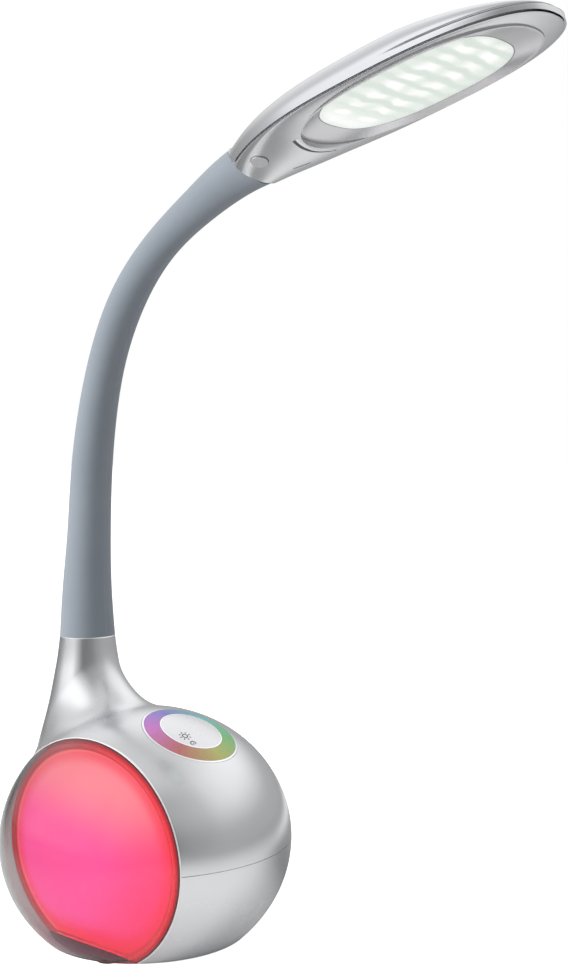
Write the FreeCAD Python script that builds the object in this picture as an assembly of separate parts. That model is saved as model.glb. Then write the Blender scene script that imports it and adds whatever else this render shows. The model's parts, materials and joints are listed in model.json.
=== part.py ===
import FreeCAD, Part
import math
import os

V = FreeCAD.Vector

# Desk lamp with a globe base, a bendable neck and an oval light head.
# Frame: +X forward from the neck to the head, -Y through the round mood window, +Z up.
# Origin: on the desk, under the centre of the globe. All sizes in millimetres.

# ---- globe body ----
globe_radius = 66.0            # horizontal half size
globe_half_height = 58.7       # vertical half size before the bottom is cut flat
foot_height = 1.2              # rubber feet lift the flat bottom by this much
flat_cut = 16.5                # cap cut off the globe's bottom
shell_wall = 2.2
window_cut = 31.0              # cap cut off the globe's side at the round window
parting_below_centre = 0.4     # joint line between the two shells
parting_groove = 0.25          # small visible step at the joint line
floor_thickness = 2.2

# ---- horn: the root of the neck, one piece with the upper shell ----
neck_inset = 27.4              # neck axis, in from the globe's widest skin behind it
horn_radii = [                 # (height above the globe's highest skin, radius)
    (29.9, 12.9), (18.8, 14.4), (10.8, 15.9), (1.3, 17.8), (-8.7, 20.3),
    (-18.2, 22.9), (-28.1, 25.0), (-41.7, 26.0), (-52.7, 25.4), (-62.7, 23.6),
]
horn_blend = 24.0              # fillet between the horn and the globe
horn_cap = 3.0                 # thickness of the horn's top plate

# ---- window ----
dome_wall = 2.0
rim_gap = 0.05
rim_width = 2.3
rim_depth = 4.0
diffuser_gap = 0.15
diffuser_thickness = 3.0
diffuser_proud = 1.6           # front face ahead of the window plane
diffuser_bevel = 2.6
reflector_wall = 1.5
reflector_depth = 19.0
reflector_end_radius = 21.0
mood_board_thickness = 1.6
mood_led_size = 5.0
mood_led_height = 1.6
mood_led_circle = 12.0
mood_led_count = 6

# ---- touch pad ----
pad_tilt = 23.6                # degrees from straight up, towards +X
pad_radius = 22.0
pad_trim_width = 0.8
pad_ring_width = 6.6
pad_gap = 0.1
pad_edge_thickness = 1.2
pad_seat_width = 3.4
pad_seat_depth = 2.6
touch_board_thickness = 1.6

# ---- inside the base ----
ballast_inset = 25.5           # ballast edge, in from the globe's widest skin
ballast_thickness = 11.0
ballast_flat_inset = 19.0      # flat side of the ballast, in from the window plane
standoff_height = 4.0
standoff_radius = 2.5
board_length = 44.0
board_width = 40.0
board_thickness = 1.6
board_centre_y = 12.0
board_hole_inset = 4.0
boss_radius = 4.0
boss_angles = [40.0, 90.0, 140.0]
boss_inset = 26.4              # boss circle, in from the globe's widest skin
boss_split = 30.0              # height above the flat bottom where the two bosses meet
boss_bore = 6.4
screw_shank_radius = 1.4
screw_head_radius = 2.8
screw_head_height = 2.4
screw_length = 18.0
screw_seat = 3.0               # plastic under the screw head
foot_radius = 5.0
foot_inset = 26.5              # foot circle, in from the globe's widest skin
foot_first_angle = -69.0
foot_count = 4
centre_pad_radius = 14.0
lead_start = 15.0              # start of the neck's leads at the board's connector
inlet_above_flat = 24.0
inlet_radius = 4.0
inlet_flange_radius = 5.6
inlet_flange = 1.2
inlet_length = 14.0
inlet_pad_radius = 7.6
inlet_pad_depth = 3.5            # thickened wall behind the inlet's flange
inlet_recess = 2.9             # flange seat, in from the widest skin there
inlet_socket_radius = 2.8
inlet_socket_depth = 9.0
inlet_pin_radius = 0.9
inlet_nut_radius = 6.4
inlet_nut_thickness = 2.5

# ---- neck ----
# Pivots of the bendable neck: (ahead of the horn's axis, height above the horn, sleeve radius).
neck_bends = [
    (0.0, 20.5, 11.55), (1.6, 47.5, 10.2), (3.6, 75.0, 9.65), (7.9, 103.0, 9.05),
    (15.9, 130.7, 8.5), (29.7, 156.7, 8.3), (50.2, 178.0, 7.7), (75.8, 194.0, 8.5),
]
ball_ratio = 1.3               # ball of each joint, as a share of the sleeve radius
joint_gap = 0.3
conduit_radius = 4.4
conduit_bore = 2.6
wire_radius = 1.1
fit_gap = 0.1
ferrule_radius = 8.0
ferrule_length = 11.0
ferrule_flange_radius = 9.4
ferrule_flange = 2.2
lead_bend = 9.0

# ---- head, in its own frame: X along the head, Z up out of its top ----
neck_reach, neck_rise = 102.6, 206.0   # end of the neck's axis, from the horn's top
head_tilt = 13.75              # degrees nose up
head_length = 151.5
head_half_width = 31.0
nose_length = 73.5             # from the widest station to the tip
neck_end_half_width = 10.6
nose_power = 2.5
flank_power = 2.6
seam_height = -1.0
rim_band = 2.6
top_height = 15.0
top_fall_length = 56.5         # from the highest station to the tip
neck_end_top_height = 8.0
nose_drop_power = 1.35
neck_rise_power = 4.0
underside_neck_depths = [      # (station from the neck's end, depth below the seam)
    (-12.0, 8.9), (0.0, 8.8), (12.0, 8.0), (24.0, 6.4), (36.0, 4.3), (48.0, 2.9), (65.0, 2.2),
]
underside_nose_depths = [      # (station back from the tip, depth below the seam)
    (61.5, 2.0), (21.5, 1.8), (5.5, 1.3), (0.2, 0.7),
]
seam_step = 0.8
head_wall = 1.6
end_slope = 39.0               # degrees, slanted cut where the head meets the sleeve
bezel_start, bezel_tip_margin, bezel_side_margin = 35.8, 9.3, 4.0
bezel_power = 2.35
bezel_low = -3.0
bezel_top = 1.5
bezel_lip = 1.0
bezel_gap = 0.12
notch_width = 1.3              # crescent gap at the neck end of the bezel
lens_neck_margin, lens_tip_margin, lens_side_margin = 11.6, 13.6, 2.8
lens_power = 2.7
lens_low = -1.0
lens_flange = 1.6
lens_flange_thickness = 1.0
led_board_low = 4.5
led_board_end_margin, led_board_side_margin = 3.6, 4.7
led_board_thickness = 1.2
led_columns, led_rows = 10, 2
led_edge, led_row_pitch = 5.5, 16.0
led_length, led_width, led_height = 3.5, 2.8, 0.8
heat_plate_thickness = 1.5
heat_plate_margin = 0.8
head_post_radius = 2.6
head_post_inset = 9.0
head_screw_radius = 1.0
head_screw_head_radius = 1.9
head_screw_head_height = 1.2
head_screw_grip = 4.0
button_s, button_y = 17.4, -13.4
button_radius = 3.5
button_clearance = 0.3
button_proud = 0.7
button_length = 3.6
button_travel = 0.8
button_flange = 0.8
button_flange_start = 2.55
button_flange_thickness = 0.8
switch_stem_gap = 0.05
switch_side = 6.0
switch_height = 2.4
switch_board_width = 6.6
switch_board_thickness = 1.0
switch_post_radius = 1.0
bracket_radius = 6.2
bracket_length = 17.0


def settle(value):
    """The value without the last bits that sums leave on it."""
    return round(value, 9)


# ---- derived levels ----
flat_z = foot_height
centre_z = flat_z + globe_half_height - flat_cut
window_distance = globe_radius - window_cut
neck_offset = globe_radius - neck_inset
ballast_radius = globe_radius - ballast_inset
ballast_flat = window_distance - ballast_flat_inset
boss_circle = globe_radius - boss_inset
foot_circle = globe_radius - foot_inset
parting_z = centre_z - parting_below_centre
floor_z = flat_z + floor_thickness
horn_top_z = centre_z + globe_half_height + horn_radii[0][0]
ballast_top = floor_z + ballast_thickness
board_z = ballast_top + standoff_height
board_top = board_z + board_thickness
neck_pivots = [(settle(x - neck_offset), settle(horn_top_z + rise), radius)
               for x, rise, radius in neck_bends]
head_x, head_z = settle(neck_reach - neck_offset), settle(horn_top_z + neck_rise)
widest_at = head_length - nose_length
top_peak_at = head_length - top_fall_length
underside_depths = underside_neck_depths + [(head_length - s, d) for s, d in underside_nose_depths]
bezel_end = head_length - bezel_tip_margin
bezel_at, bezel_half_length = (bezel_start + bezel_end) / 2, (bezel_end - bezel_start) / 2
bezel_half_width = head_half_width - bezel_side_margin
lens_start, lens_end = bezel_start + lens_neck_margin, bezel_end - lens_tip_margin
lens_at, lens_half_length = (lens_start + lens_end) / 2, (lens_end - lens_start) / 2
lens_half_width = bezel_half_width - lens_side_margin
led_board_half_length = lens_half_length - led_board_end_margin
led_board_half_width = lens_half_width - led_board_side_margin
led_pitch = 2 * (led_board_half_length - led_edge) / (led_columns - 1)
head_post_reach = led_board_half_length - head_post_inset
head_post_stations = [-head_post_reach, 0.0, head_post_reach]
big = 400.0


def box(x0, x1, y0, y1, z0, z1):
    return Part.makeBox(x1 - x0, y1 - y0, z1 - z0, V(x0, y0, z0))


def rod(radius, start, end):
    a, b = V(*start), V(*end)
    return Part.makeCylinder(radius, (b - a).Length, a, b - a)


def hexagon(radius, start, thickness, direction):
    nut = Part.makePolygon([V(radius * math.cos(math.radians(60 * k)),
                              radius * math.sin(math.radians(60 * k)), 0) for k in range(7)])
    solid = Part.Face(nut).extrude(V(0, 0, thickness))
    turn = FreeCAD.Rotation(V(0, 0, 1), V(*direction))
    solid.Placement = FreeCAD.Placement(V(*start), turn)
    return solid


def one(shape):
    """The shape as separate solids in one compound, or as the single solid it holds."""
    solids = shape.Solids
    return solids[0] if len(solids) == 1 else Part.makeCompound(solids)


# ---------------------------------------------------------------- globe and horn
def globe(offset, seam=-90.0):
    """Spheroid, smaller than the outer skin by the offset, its surface seam turned to an angle."""
    a, c = globe_radius - offset, globe_half_height - offset
    arc = Part.Ellipse(V(a, 0, 0), V(0, 0, c), V(0, 0, 0)) if a >= c else \
        Part.Ellipse(V(0, 0, c), V(a, 0, 0), V(0, 0, 0))
    cut_face = Part.Face(Part.Wire([arc.toShape()]))
    half = cut_face.common(box(0, 2 * a, -1, 1, -2 * c, 2 * c))
    solid = half.Faces[0].revolve(V(0, 0, 0), V(0, 0, 1), 360)
    solid.rotate(V(0, 0, 0), V(0, 0, 1), seam)
    solid.translate(V(0, 0, centre_z))
    return solid


def horn(offset):
    """Trumpet-shaped root of the neck."""
    pts = [V(r - offset, 0, globe_half_height + h) for h, r in horn_radii]
    curve = Part.BSplineCurve()
    curve.interpolate(pts)
    top, low = pts[0], pts[-1]
    edges = [curve.toShape(), Part.makeLine(low, V(0, 0, low.z)),
             Part.makeLine(V(0, 0, low.z), V(0, 0, top.z)), Part.makeLine(V(0, 0, top.z), top)]
    solid = Part.Face(Part.Wire(edges)).revolve(V(0, 0, 0), V(0, 0, 1), 360)
    solid.translate(V(-neck_offset, 0, centre_z))
    return solid


def blended(offset):
    """Globe and horn joined with the big fillet."""
    body = globe(offset).fuse(horn(offset))
    joint = []
    for edge in body.Edges:
        b = edge.BoundBox
        if b.ZMin > centre_z - 20 and b.ZMax > centre_z + 20 and b.ZMax < horn_top_z - 5 and b.YLength > 5:
            joint.append(edge)
    return body.makeFillet(horn_blend + offset, joint)


def skins():
    outer = blended(0.0).cut(box(-big, big, -big, big, -big, flat_z))
    inner = blended(shell_wall)
    inner = inner.cut(box(-big, big, -big, big, -big, floor_z))
    inner = inner.cut(box(-big, big, -big, big, horn_top_z - horn_cap, big))
    return outer, inner


def groove():
    """Rebate that shows as the fine line between the two shells."""
    slab = box(-big, big, -big, big, parting_z - parting_groove, parting_z)
    return slab.cut(globe(2 * parting_groove, seam=0.0))


def skin_radius(height, offset=0.0):
    """Horizontal radius of the globe at a height above the desk."""
    share = (height - centre_z) / (globe_half_height - offset)
    return (globe_radius - offset) * math.sqrt(1 - share * share)


# ---------------------------------------------------------------- touch pad
def pad_frame():
    """Placement at the pad's centre on the globe's skin, Z along the outward normal."""
    tilt = math.radians(pad_tilt)
    angle = math.atan(math.tan(tilt) * globe_radius / globe_half_height)
    centre = V(globe_radius * math.sin(angle), 0, centre_z + globe_half_height * math.cos(angle))
    normal = V(math.sin(tilt), 0, math.cos(tilt))
    return FreeCAD.Placement(centre, FreeCAD.Rotation(V(0, 0, 1), normal))


def pad_drop(radius):
    """How far the skin falls below the pad's centre at a radius, the larger side."""
    place, drops = pad_frame(), []
    for side in (-1, 1):
        low, high = 0.0, radius
        while high - low > 1e-4:
            mid = (low + high) / 2
            p = place.multVec(V(side * radius, 0, -mid))
            inside = (p.x / globe_radius) ** 2 + ((p.z - centre_z) / globe_half_height) ** 2 < 1
            low, high = (low, mid) if inside else (mid, high)
        drops.append(high)
    return max(drops)


def pad_level():
    """Height of the pad's flat seat in the pad's own frame."""
    return -(pad_drop(pad_radius) + pad_edge_thickness)


def pad_rod(radius, low, high):
    solid = rod(radius, (0, 0, low), (0, 0, high))
    solid.Placement = pad_frame()
    return solid


def pad_piece(outer_skin, outer_radius, inner_radius):
    piece = pad_rod(outer_radius, pad_level(), pad_edge_thickness).common(outer_skin)
    if inner_radius > 0:
        piece = piece.cut(pad_rod(inner_radius, pad_level() - 1, 2))
    return one(piece)


def trim_inner():
    return pad_radius - pad_gap - pad_trim_width


def ring_inner():
    return trim_inner() - pad_gap - pad_ring_width


# ---------------------------------------------------------------- base shells
def boss_centres():
    return [(boss_circle * math.cos(math.radians(a)), boss_circle * math.sin(math.radians(a)))
            for a in boss_angles]


def upper_shell(outer, inner):
    shell = outer.cut(inner).cut(box(-big, big, -big, -window_distance, -big, big))
    shell = shell.cut(box(-big, big, -big, big, -big, parting_z))
    bore = horn_top_z - horn_cap - 1
    shell = shell.cut(rod(ferrule_radius, (-neck_offset, 0, bore), (-neck_offset, 0, horn_top_z + 1)))
    level = pad_level()
    seat_outer = pad_radius + pad_seat_depth
    seat = pad_rod(seat_outer, level - pad_seat_depth, 0).common(globe(shell_wall / 2))
    shell = shell.fuse(seat)
    shell = shell.cut(pad_rod(pad_radius, level, 3 * pad_edge_thickness))
    shell = shell.cut(pad_rod(pad_radius - pad_seat_width, level - 3 * pad_seat_depth, level + 1))
    split = flat_z + boss_split
    for x, y in boss_centres():
        post = rod(boss_radius, (x, y, split), (x, y, horn_top_z)).common(inner)
        shell = shell.fuse(post)
    for x, y in boss_centres():
        depth = screw_length - screw_seat + 1
        shell = shell.cut(rod(screw_shank_radius, (x, y, split - 1), (x, y, split + depth)))
    return one(shell)


def inlet_face():
    """Y of the seat under the inlet's flange."""
    return skin_radius(flat_z + inlet_above_flat) - inlet_recess


def lower_shell():
    outer = globe(0.0, seam=0.0).cut(box(-big, big, -big, big, -big, flat_z))
    inner = globe(shell_wall, seam=0.0).cut(box(-big, big, -big, big, -big, floor_z))
    shell = outer.cut(inner).cut(box(-big, big, -big, -window_distance, -big, big))
    shell = shell.cut(box(-big, big, -big, big, parting_z, big)).cut(groove())
    split, seat = flat_z + boss_split, flat_z + boss_split - screw_seat
    height = flat_z + inlet_above_flat
    face = inlet_face()
    pad = rod(inlet_pad_radius, (0, face - inlet_pad_depth, height), (0, big, height))
    pad = pad.common(globe(shell_wall / 2, seam=0.0))
    shell = shell.fuse(pad)
    shell = shell.cut(rod(inlet_flange_radius + fit_gap, (0, face, height), (0, big, height)))
    shell = shell.cut(rod(inlet_radius, (0, face - 2 * inlet_pad_depth, height), (0, big, height)))
    for x, y in boss_centres():
        shell = shell.fuse(rod(boss_radius, (x, y, flat_z), (x, y, split)))
    for x, y in boss_centres():
        shell = shell.cut(rod(boss_bore / 2, (x, y, flat_z - 1), (x, y, seat)))
        shell = shell.cut(rod(screw_shank_radius + fit_gap, (x, y, seat - 1), (x, y, split + 1)))
    return one(shell)


def body_screws():
    seat = flat_z + boss_split - screw_seat
    screws = []
    for x, y in boss_centres():
        head = rod(screw_head_radius, (x, y, seat - screw_head_height), (x, y, seat))
        shank = rod(screw_shank_radius, (x, y, seat), (x, y, seat + screw_length))
        screws.append(head.fuse(shank).removeSplitter())
    return Part.makeCompound(screws)


# ---------------------------------------------------------------- mood window
def front_of(solid):
    return solid.common(box(-big, big, -big, -window_distance, -big, big))


def clear_dome(outer):
    inside = globe(dome_wall).cut(box(-big, big, -big, big, -big, flat_z + dome_wall))
    return one(front_of(outer).cut(inside))


def window_rim(inner):
    slab = box(-big, big, -window_distance, rim_depth - window_distance, floor_z, parting_z * 9)
    ring = inner.common(slab).common(globe(shell_wall + rim_gap))
    return one(ring.cut(globe(shell_wall + rim_gap + rim_width).cut(
        box(-big, big, -big, big, -big, floor_z + rim_width))))


def ellipse_face(offset, y):
    """Section of the globe, shrunk by the offset, on a plane of constant Y."""
    a, c = globe_radius - offset, globe_half_height - offset
    share = math.sqrt(1 - (window_distance / a) ** 2)
    curve = Part.Ellipse(V(0, 0, 0), a * share, c * share)
    edge = curve.toShape()
    edge.Placement = FreeCAD.Placement(V(0, y, centre_z), FreeCAD.Rotation(V(1, 0, 0), 90))
    return edge


def above_floor(solid, height):
    return solid.cut(box(-big, big, -big, big, -big, height))


def mood_diffuser():
    offset = shell_wall + rim_gap + rim_width + diffuser_gap
    front = -window_distance - diffuser_proud
    wide = ellipse_face(offset, front + diffuser_proud)
    narrow = ellipse_face(offset + diffuser_bevel, front)
    back = ellipse_face(offset, front + diffuser_proud + diffuser_thickness)
    cap = Part.makeLoft([Part.Wire([narrow]), Part.Wire([wide])], True, True)
    disc = Part.makeLoft([Part.Wire([wide]), Part.Wire([back])], True, True)
    return one(above_floor(cap.fuse(disc).removeSplitter(), floor_z + rim_width + diffuser_gap))


def cone_between(offset, start, end_radius, end):
    a, c = globe_radius - offset, globe_half_height - offset
    share = math.sqrt(1 - (window_distance / a) ** 2)
    n = 24
    rings = []
    for y, rx, rz in ((start, a * share, c * share), (end, end_radius, end_radius)):
        pts = [V(rx * math.cos(2 * math.pi * k / n), y, centre_z + rz * math.sin(2 * math.pi * k / n))
               for k in range(n)]
        curve = Part.BSplineCurve()
        curve.interpolate(pts, PeriodicFlag=True)
        rings.append(Part.Wire([curve.toShape()]))
    return Part.makeLoft(rings, True, True)


def reflector_start():
    return diffuser_thickness - window_distance


def light_reflector():
    offset = shell_wall + rim_gap + rim_width + diffuser_gap
    start = reflector_start()
    end = start + reflector_depth
    shell = cone_between(offset, start, reflector_end_radius + reflector_wall, end)
    shell = shell.cut(cone_between(offset + reflector_wall, start - 0.01, reflector_end_radius, end + 0.01))
    return one(above_floor(shell, floor_z + rim_width + diffuser_gap))


def mood_board():
    end = reflector_start() + reflector_depth
    return rod(reflector_end_radius + reflector_wall, (0, end, centre_z),
               (0, end + mood_board_thickness, centre_z))


def mood_leds():
    face = reflector_start() + reflector_depth
    half = mood_led_size / 2
    leds = []
    for k in range(mood_led_count):
        a = 2 * math.pi * k / mood_led_count
        x, z = mood_led_circle * math.cos(a), centre_z + mood_led_circle * math.sin(a)
        leds.append(box(x - half, x + half, face - mood_led_height, face, z - half, z + half))
    return Part.makeCompound(leds)


# ---------------------------------------------------------------- inside the base
def ballast():
    disc = rod(ballast_radius, (0, 0, floor_z), (0, 0, ballast_top))
    disc = disc.cut(box(-big, big, -big, -ballast_flat, -big, big))
    for x, y in boss_centres():
        disc = disc.cut(rod(boss_radius + joint_gap, (x, y, 0), (x, y, big)))
    return one(disc)


def board_corners():
    x, y = board_length / 2 - board_hole_inset, board_width / 2 - board_hole_inset
    return [(sx * x, board_centre_y + sy * y) for sx in (-1, 1) for sy in (-1, 1)]


def main_board():
    half_x, half_y = board_length / 2, board_width / 2
    return box(-half_x, half_x, board_centre_y - half_y, board_centre_y + half_y, board_z, board_top)


def board_standoffs():
    return Part.makeCompound([rod(standoff_radius, (x, y, ballast_top), (x, y, board_z))
                              for x, y in board_corners()])


def board_parts():
    """Connector, storage capacitor, coil, driver and control chips on the board."""
    y = board_centre_y
    parts = [
        box(-20.0, -12.0, -4.0, 4.0, board_top + 2 * wire_radius, board_top + 7.0),
        rod(5.0, (12.0, y + 6.0, board_top), (12.0, y + 6.0, board_top + 13.0)),
        rod(4.5, (-9.0, y + 8.0, board_top), (-9.0, y + 8.0, board_top + 5.0)),
        box(-3.0, 3.0, y - 6.0, y - 1.0, board_top, board_top + 1.6),
        box(6.0, 14.0, y - 12.0, y - 5.0, board_top, board_top + 1.8),
    ]
    ears = [box(-20.0, -18.6, -4.0, 4.0, board_top, board_top + 2 * wire_radius),
            box(-13.4, -12.0, -4.0, 4.0, board_top, board_top + 2 * wire_radius)]
    parts[0] = parts[0].fuse(ears)
    opening = box(-21.0, -18.0, -3.4, 3.4, board_top - 1, board_top + 2 * wire_radius + fit_gap)
    parts[0] = parts[0].cut(opening).removeSplitter()
    return Part.makeCompound([one(p) for p in parts])


def dc_inlet():
    height, face = flat_z + inlet_above_flat, inlet_face()
    mouth = face + inlet_flange
    body = rod(inlet_radius, (0, face - inlet_length, height), (0, face, height))
    body = body.fuse(rod(inlet_flange_radius, (0, face, height), (0, mouth, height))).removeSplitter()
    socket = rod(inlet_socket_radius, (0, mouth - inlet_socket_depth, height), (0, mouth + 1, height))
    socket = socket.cut(rod(inlet_pin_radius, (0, mouth - inlet_socket_depth, height),
                            (0, mouth - 1, height)))
    body = body.cut(socket)
    seat = face - inlet_pad_depth
    nut = hexagon(inlet_nut_radius, (0, seat, height), inlet_nut_thickness, (0, -1, 0))
    nut = nut.cut(rod(inlet_radius, (0, 0, height), (0, big, height)))
    return Part.makeCompound([one(body), one(nut)])


def rubber_feet():
    feet = []
    for k in range(foot_count):
        a = math.radians(foot_first_angle + 360.0 * k / foot_count)
        x, y = foot_circle * math.cos(a), foot_circle * math.sin(a)
        feet.append(rod(foot_radius, (x, y, 0), (x, y, flat_z)))
    return Part.makeCompound(feet)


def centre_pad():
    return rod(centre_pad_radius, (0, 0, 0), (0, 0, flat_z))


# ---------------------------------------------------------------- neck
def pivot(k):
    x, z, r = neck_pivots[k]
    return V(x, 0, z)


def pivot_radius(k):
    return neck_pivots[k][2]


def ball(k, extra=0.0):
    """Ball around a pivot, with its poles and its seam turned off to the neck's sides."""
    along = pivot(k) - (neck_start() if k == 0 else pivot(k - 1))
    turn = FreeCAD.Rotation(V(along.z, 0, -along.x), V(0, 0, 0), V(0, 1, 0), "XZY")
    solid = Part.makeSphere(pivot_radius(k) * ball_ratio + extra)
    solid.Placement = FreeCAD.Placement(pivot(k), turn)
    return solid


def straight(start, end, r0, r1):
    axis = end - start
    if abs(r0 - r1) < 1e-6:
        return Part.makeCylinder(r0, axis.Length, start, axis)
    return Part.makeCone(r0, r1, axis.Length, start, axis)


def capped(start, end, r0, r1, top, cap_radius):
    """A run between two points that ends in the ball of the pivot above it."""
    axis = (end - start).normalize()
    reach = pivot_radius(top) * ball_ratio * 1.5
    cap = Part.makeCylinder(cap_radius, reach, end, axis).common(ball(top))
    return straight(start, end, r0, r1).fuse(cap)


def neck_start():
    return V(-neck_offset, 0, horn_top_z)


def neck_run(k):
    """Start, end and top pivot of neck piece k: 0 is the root, the last one meets the head."""
    count = len(neck_pivots)
    start = neck_start() if k == 0 else pivot(k - 1)
    end = pivot(k) if k < count else V(head_x, 0, head_z)
    return start, end


def neck_piece(k, outer0, outer1, bore, start=None, spread=0.0):
    a, b = neck_run(k)
    a = start or a
    side = V(0, spread, 0)
    top = k if k < len(neck_pivots) else None
    if top is None:
        solid = straight(a + side, b + side, outer0, outer1)
        hole = straight(a + side, b + side, bore, bore) if bore else None
    else:
        solid = capped(a + side, b + side, outer0, outer1, top, outer1)
        hole = None
        if bore:
            axis = (b - a).normalize()
            hole = straight(a, b + axis * (4 * outer1), bore, bore)
    if hole:
        solid = solid.cut(hole)
    if k > 0:
        solid = solid.cut(ball(k - 1, joint_gap))
    return one(solid.removeSplitter())


def sleeve(k):
    count = len(neck_pivots)
    if k == 0:
        return neck_piece(k, horn_radii[0][1], pivot_radius(0), conduit_radius + fit_gap)
    if k < count:
        return neck_piece(k, pivot_radius(k - 1), pivot_radius(k), conduit_radius + fit_gap)
    a, b = neck_run(k)
    axis = (b - a).normalize()
    reach = b + axis * (2 * neck_end_half_width)
    end_radius = pivot_radius(k - 1) + (neck_end_half_width - seam_step / 2 - pivot_radius(k - 1)) * (
        (reach - a).Length / (b - a).Length)
    solid = straight(a, reach, pivot_radius(k - 1), end_radius)
    solid = solid.cut(straight(a, reach + axis, conduit_radius + fit_gap, conduit_radius + fit_gap))
    solid = solid.cut(ball(k - 1, joint_gap)).cut(ahead_of_joint(0.0))
    return one(solid)


def conduit(k):
    r, bore = conduit_radius, conduit_bore
    if k == 0:
        low = neck_start() - V(0, 0, ferrule_length + 2 * ferrule_flange)
        return neck_piece(k, r, r, bore, start=low)
    if k < len(neck_pivots):
        return neck_piece(k, r, r, bore)
    a, b = neck_run(k)
    axis = (b - a).normalize()
    end = b + axis * (bracket_length * 0.6)
    solid = straight(a, end, r, r).cut(straight(a - axis, end + axis, bore, bore))
    return one(solid.cut(ball(k - 1, joint_gap)))


def wire_pair(k):
    spread = wire_radius + fit_gap / 2
    wires = [neck_piece(k, wire_radius, wire_radius, None, spread=s * spread) for s in (-1, 1)]
    return Part.makeCompound([one(w) for w in wires])


def neck_leads():
    """The two leads from the board, up the horn and into the first neck joint."""
    spread = wire_radius + fit_gap / 2
    x = -neck_offset
    low = board_top + wire_radius
    leads = []
    for side in (-1, 1):
        y = side * spread
        corner = lead_bend * (1 - math.sqrt(0.5))
        path = [Part.makeLine(V(-lead_start, y, low), V(x + lead_bend, y, low)),
                Part.Arc(V(x + lead_bend, y, low), V(x + corner, y, low + corner),
                         V(x, y, low + lead_bend)).toShape(),
                Part.makeLine(V(x, y, low + lead_bend), V(x, y, horn_top_z))]
        section = Part.Wire([Part.Circle(V(-lead_start, y, low), V(-1, 0, 0), wire_radius).toShape()])
        lead = Part.Wire(path).makePipeShell([section], True, False)
        a, b = neck_start() + V(0, y, 0), pivot(0) + V(0, y, 0)
        lead = lead.fuse(capped(a, b, wire_radius, wire_radius, 0, wire_radius))
        leads.append(one(lead.removeSplitter()))
    return Part.makeCompound(leads)


def neck_ferrule():
    plate = horn_top_z - horn_cap
    x = -neck_offset
    low = plate - ferrule_length
    solid = rod(ferrule_radius, (x, 0, low), (x, 0, horn_top_z))
    solid = solid.fuse(rod(ferrule_flange_radius, (x, 0, plate - ferrule_flange), (x, 0, plate)))
    solid = solid.removeSplitter()
    return one(solid.cut(rod(conduit_radius + fit_gap, (x, 0, low - 1), (x, 0, horn_top_z + 1))))


# ---------------------------------------------------------------- head
def head_place():
    return FreeCAD.Placement(V(head_x, 0, head_z), FreeCAD.Rotation(V(0, 1, 0), -head_tilt))


def placed(shape):
    out = shape.copy()
    out.Placement = head_place().multiply(shape.Placement)
    return out


def ahead_of_joint(offset):
    """Everything in front of the slanted cut between sleeve and head, in the lamp's frame."""
    block = Part.makeBox(big, big, big, V(offset, -big / 2, -big / 2))
    block.Placement = FreeCAD.Placement(V(0, 0, 0), FreeCAD.Rotation(V(0, 1, 0), -end_slope))
    return placed(block)


def behind_joint():
    """Everything behind the slanted cut, in the head's frame."""
    block = Part.makeBox(big, big, big, V(-big, -big / 2, -big / 2))
    block.Placement = FreeCAD.Placement(V(0, 0, 0), FreeCAD.Rotation(V(0, 1, 0), -end_slope))
    return block


def half_width(s):
    if s > widest_at:
        share = min((s - widest_at) / (head_length - widest_at), 1.0)
        return head_half_width * (1 - share ** nose_power) ** (1 / nose_power)
    share = min((widest_at - s) / widest_at, 1.0)
    return head_half_width - (head_half_width - neck_end_half_width) * share ** flank_power


def crown(s):
    """Height of the top shell above its rim band."""
    if s > top_peak_at:
        share = min((s - top_peak_at) / (head_length - top_peak_at), 1.0)
        return top_height * (1 - share ** nose_drop_power) ** (1 / nose_drop_power)
    share = min((top_peak_at - s) / top_peak_at, 1.0)
    return top_height - (top_height - neck_end_top_height) * share ** neck_rise_power


def depth(s):
    """Depth of the underside below the seam, from the table."""
    table = underside_depths
    if s <= table[0][0]:
        return table[0][1]
    for (a, da), (b, db) in zip(table, table[1:]):
        if s <= b:
            return da + (db - da) * (s - a) / (b - a)
    return table[-1][1]


def stations(last):
    """Stations along the head, closer together towards the nose."""
    count = 15
    ahead = [last * math.sin(math.pi / 2 * k / count) for k in range(1, count + 1)]
    return [-12.0, -5.0, 1.0] + [s for s in ahead if s > 6.0]


def hollow_stations(last):
    """The same stations, starting a little further back so that a hollow runs out of the end."""
    return [-13.0] + stations(last)[1:]


def last_station(offset, narrowest):
    """Furthest station where the shape is still wide enough."""
    s = head_length - offset
    while half_width(s) - offset < narrowest:
        s -= 0.02
    return s


def spline(points):
    curve = Part.BSplineCurve()
    curve.interpolate(points)
    return curve.toShape()


def upper_section(s, offset, drop=0.0):
    w, top = half_width(s) - offset, max(crown(s) - offset, 0.4)
    band = seam_height + rim_band
    arc = [V(s, -w * math.cos(math.pi * k / 12), band + top * math.sin(math.pi * k / 12))
           for k in range(13)]
    low = seam_height - drop
    edges = [Part.makeLine(V(s, -w, low), arc[0]), spline(arc),
             Part.makeLine(arc[-1], V(s, w, low)), Part.makeLine(V(s, w, low), V(s, -w, low))]
    return Part.Wire(edges)


def lower_section(s, offset, lift=0.0):
    w, d = half_width(s) - offset, max(depth(s) - (offset - seam_step), 0.3)
    arc = [V(s, -w * math.cos(math.pi * k / 12), seam_height - d * math.sin(math.pi * k / 12))
           for k in range(13)]
    if lift == 0.0:
        return Part.Wire([spline(arc), Part.makeLine(arc[-1], arc[0])])
    high = seam_height + lift
    corners = [arc[-1], V(s, w, high), V(s, -w, high), arc[0]]
    return Part.Wire([spline(arc)] + [Part.makeLine(a, b) for a, b in zip(corners, corners[1:])])


def upper_solid(offset):
    last = last_station(offset, 2.2)
    return Part.makeLoft([upper_section(s, offset) for s in stations(last)], True, False)


def lower_solid(offset):
    last = last_station(offset, 2.2)
    return Part.makeLoft([lower_section(s, offset) for s in stations(last)], True, False)


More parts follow.
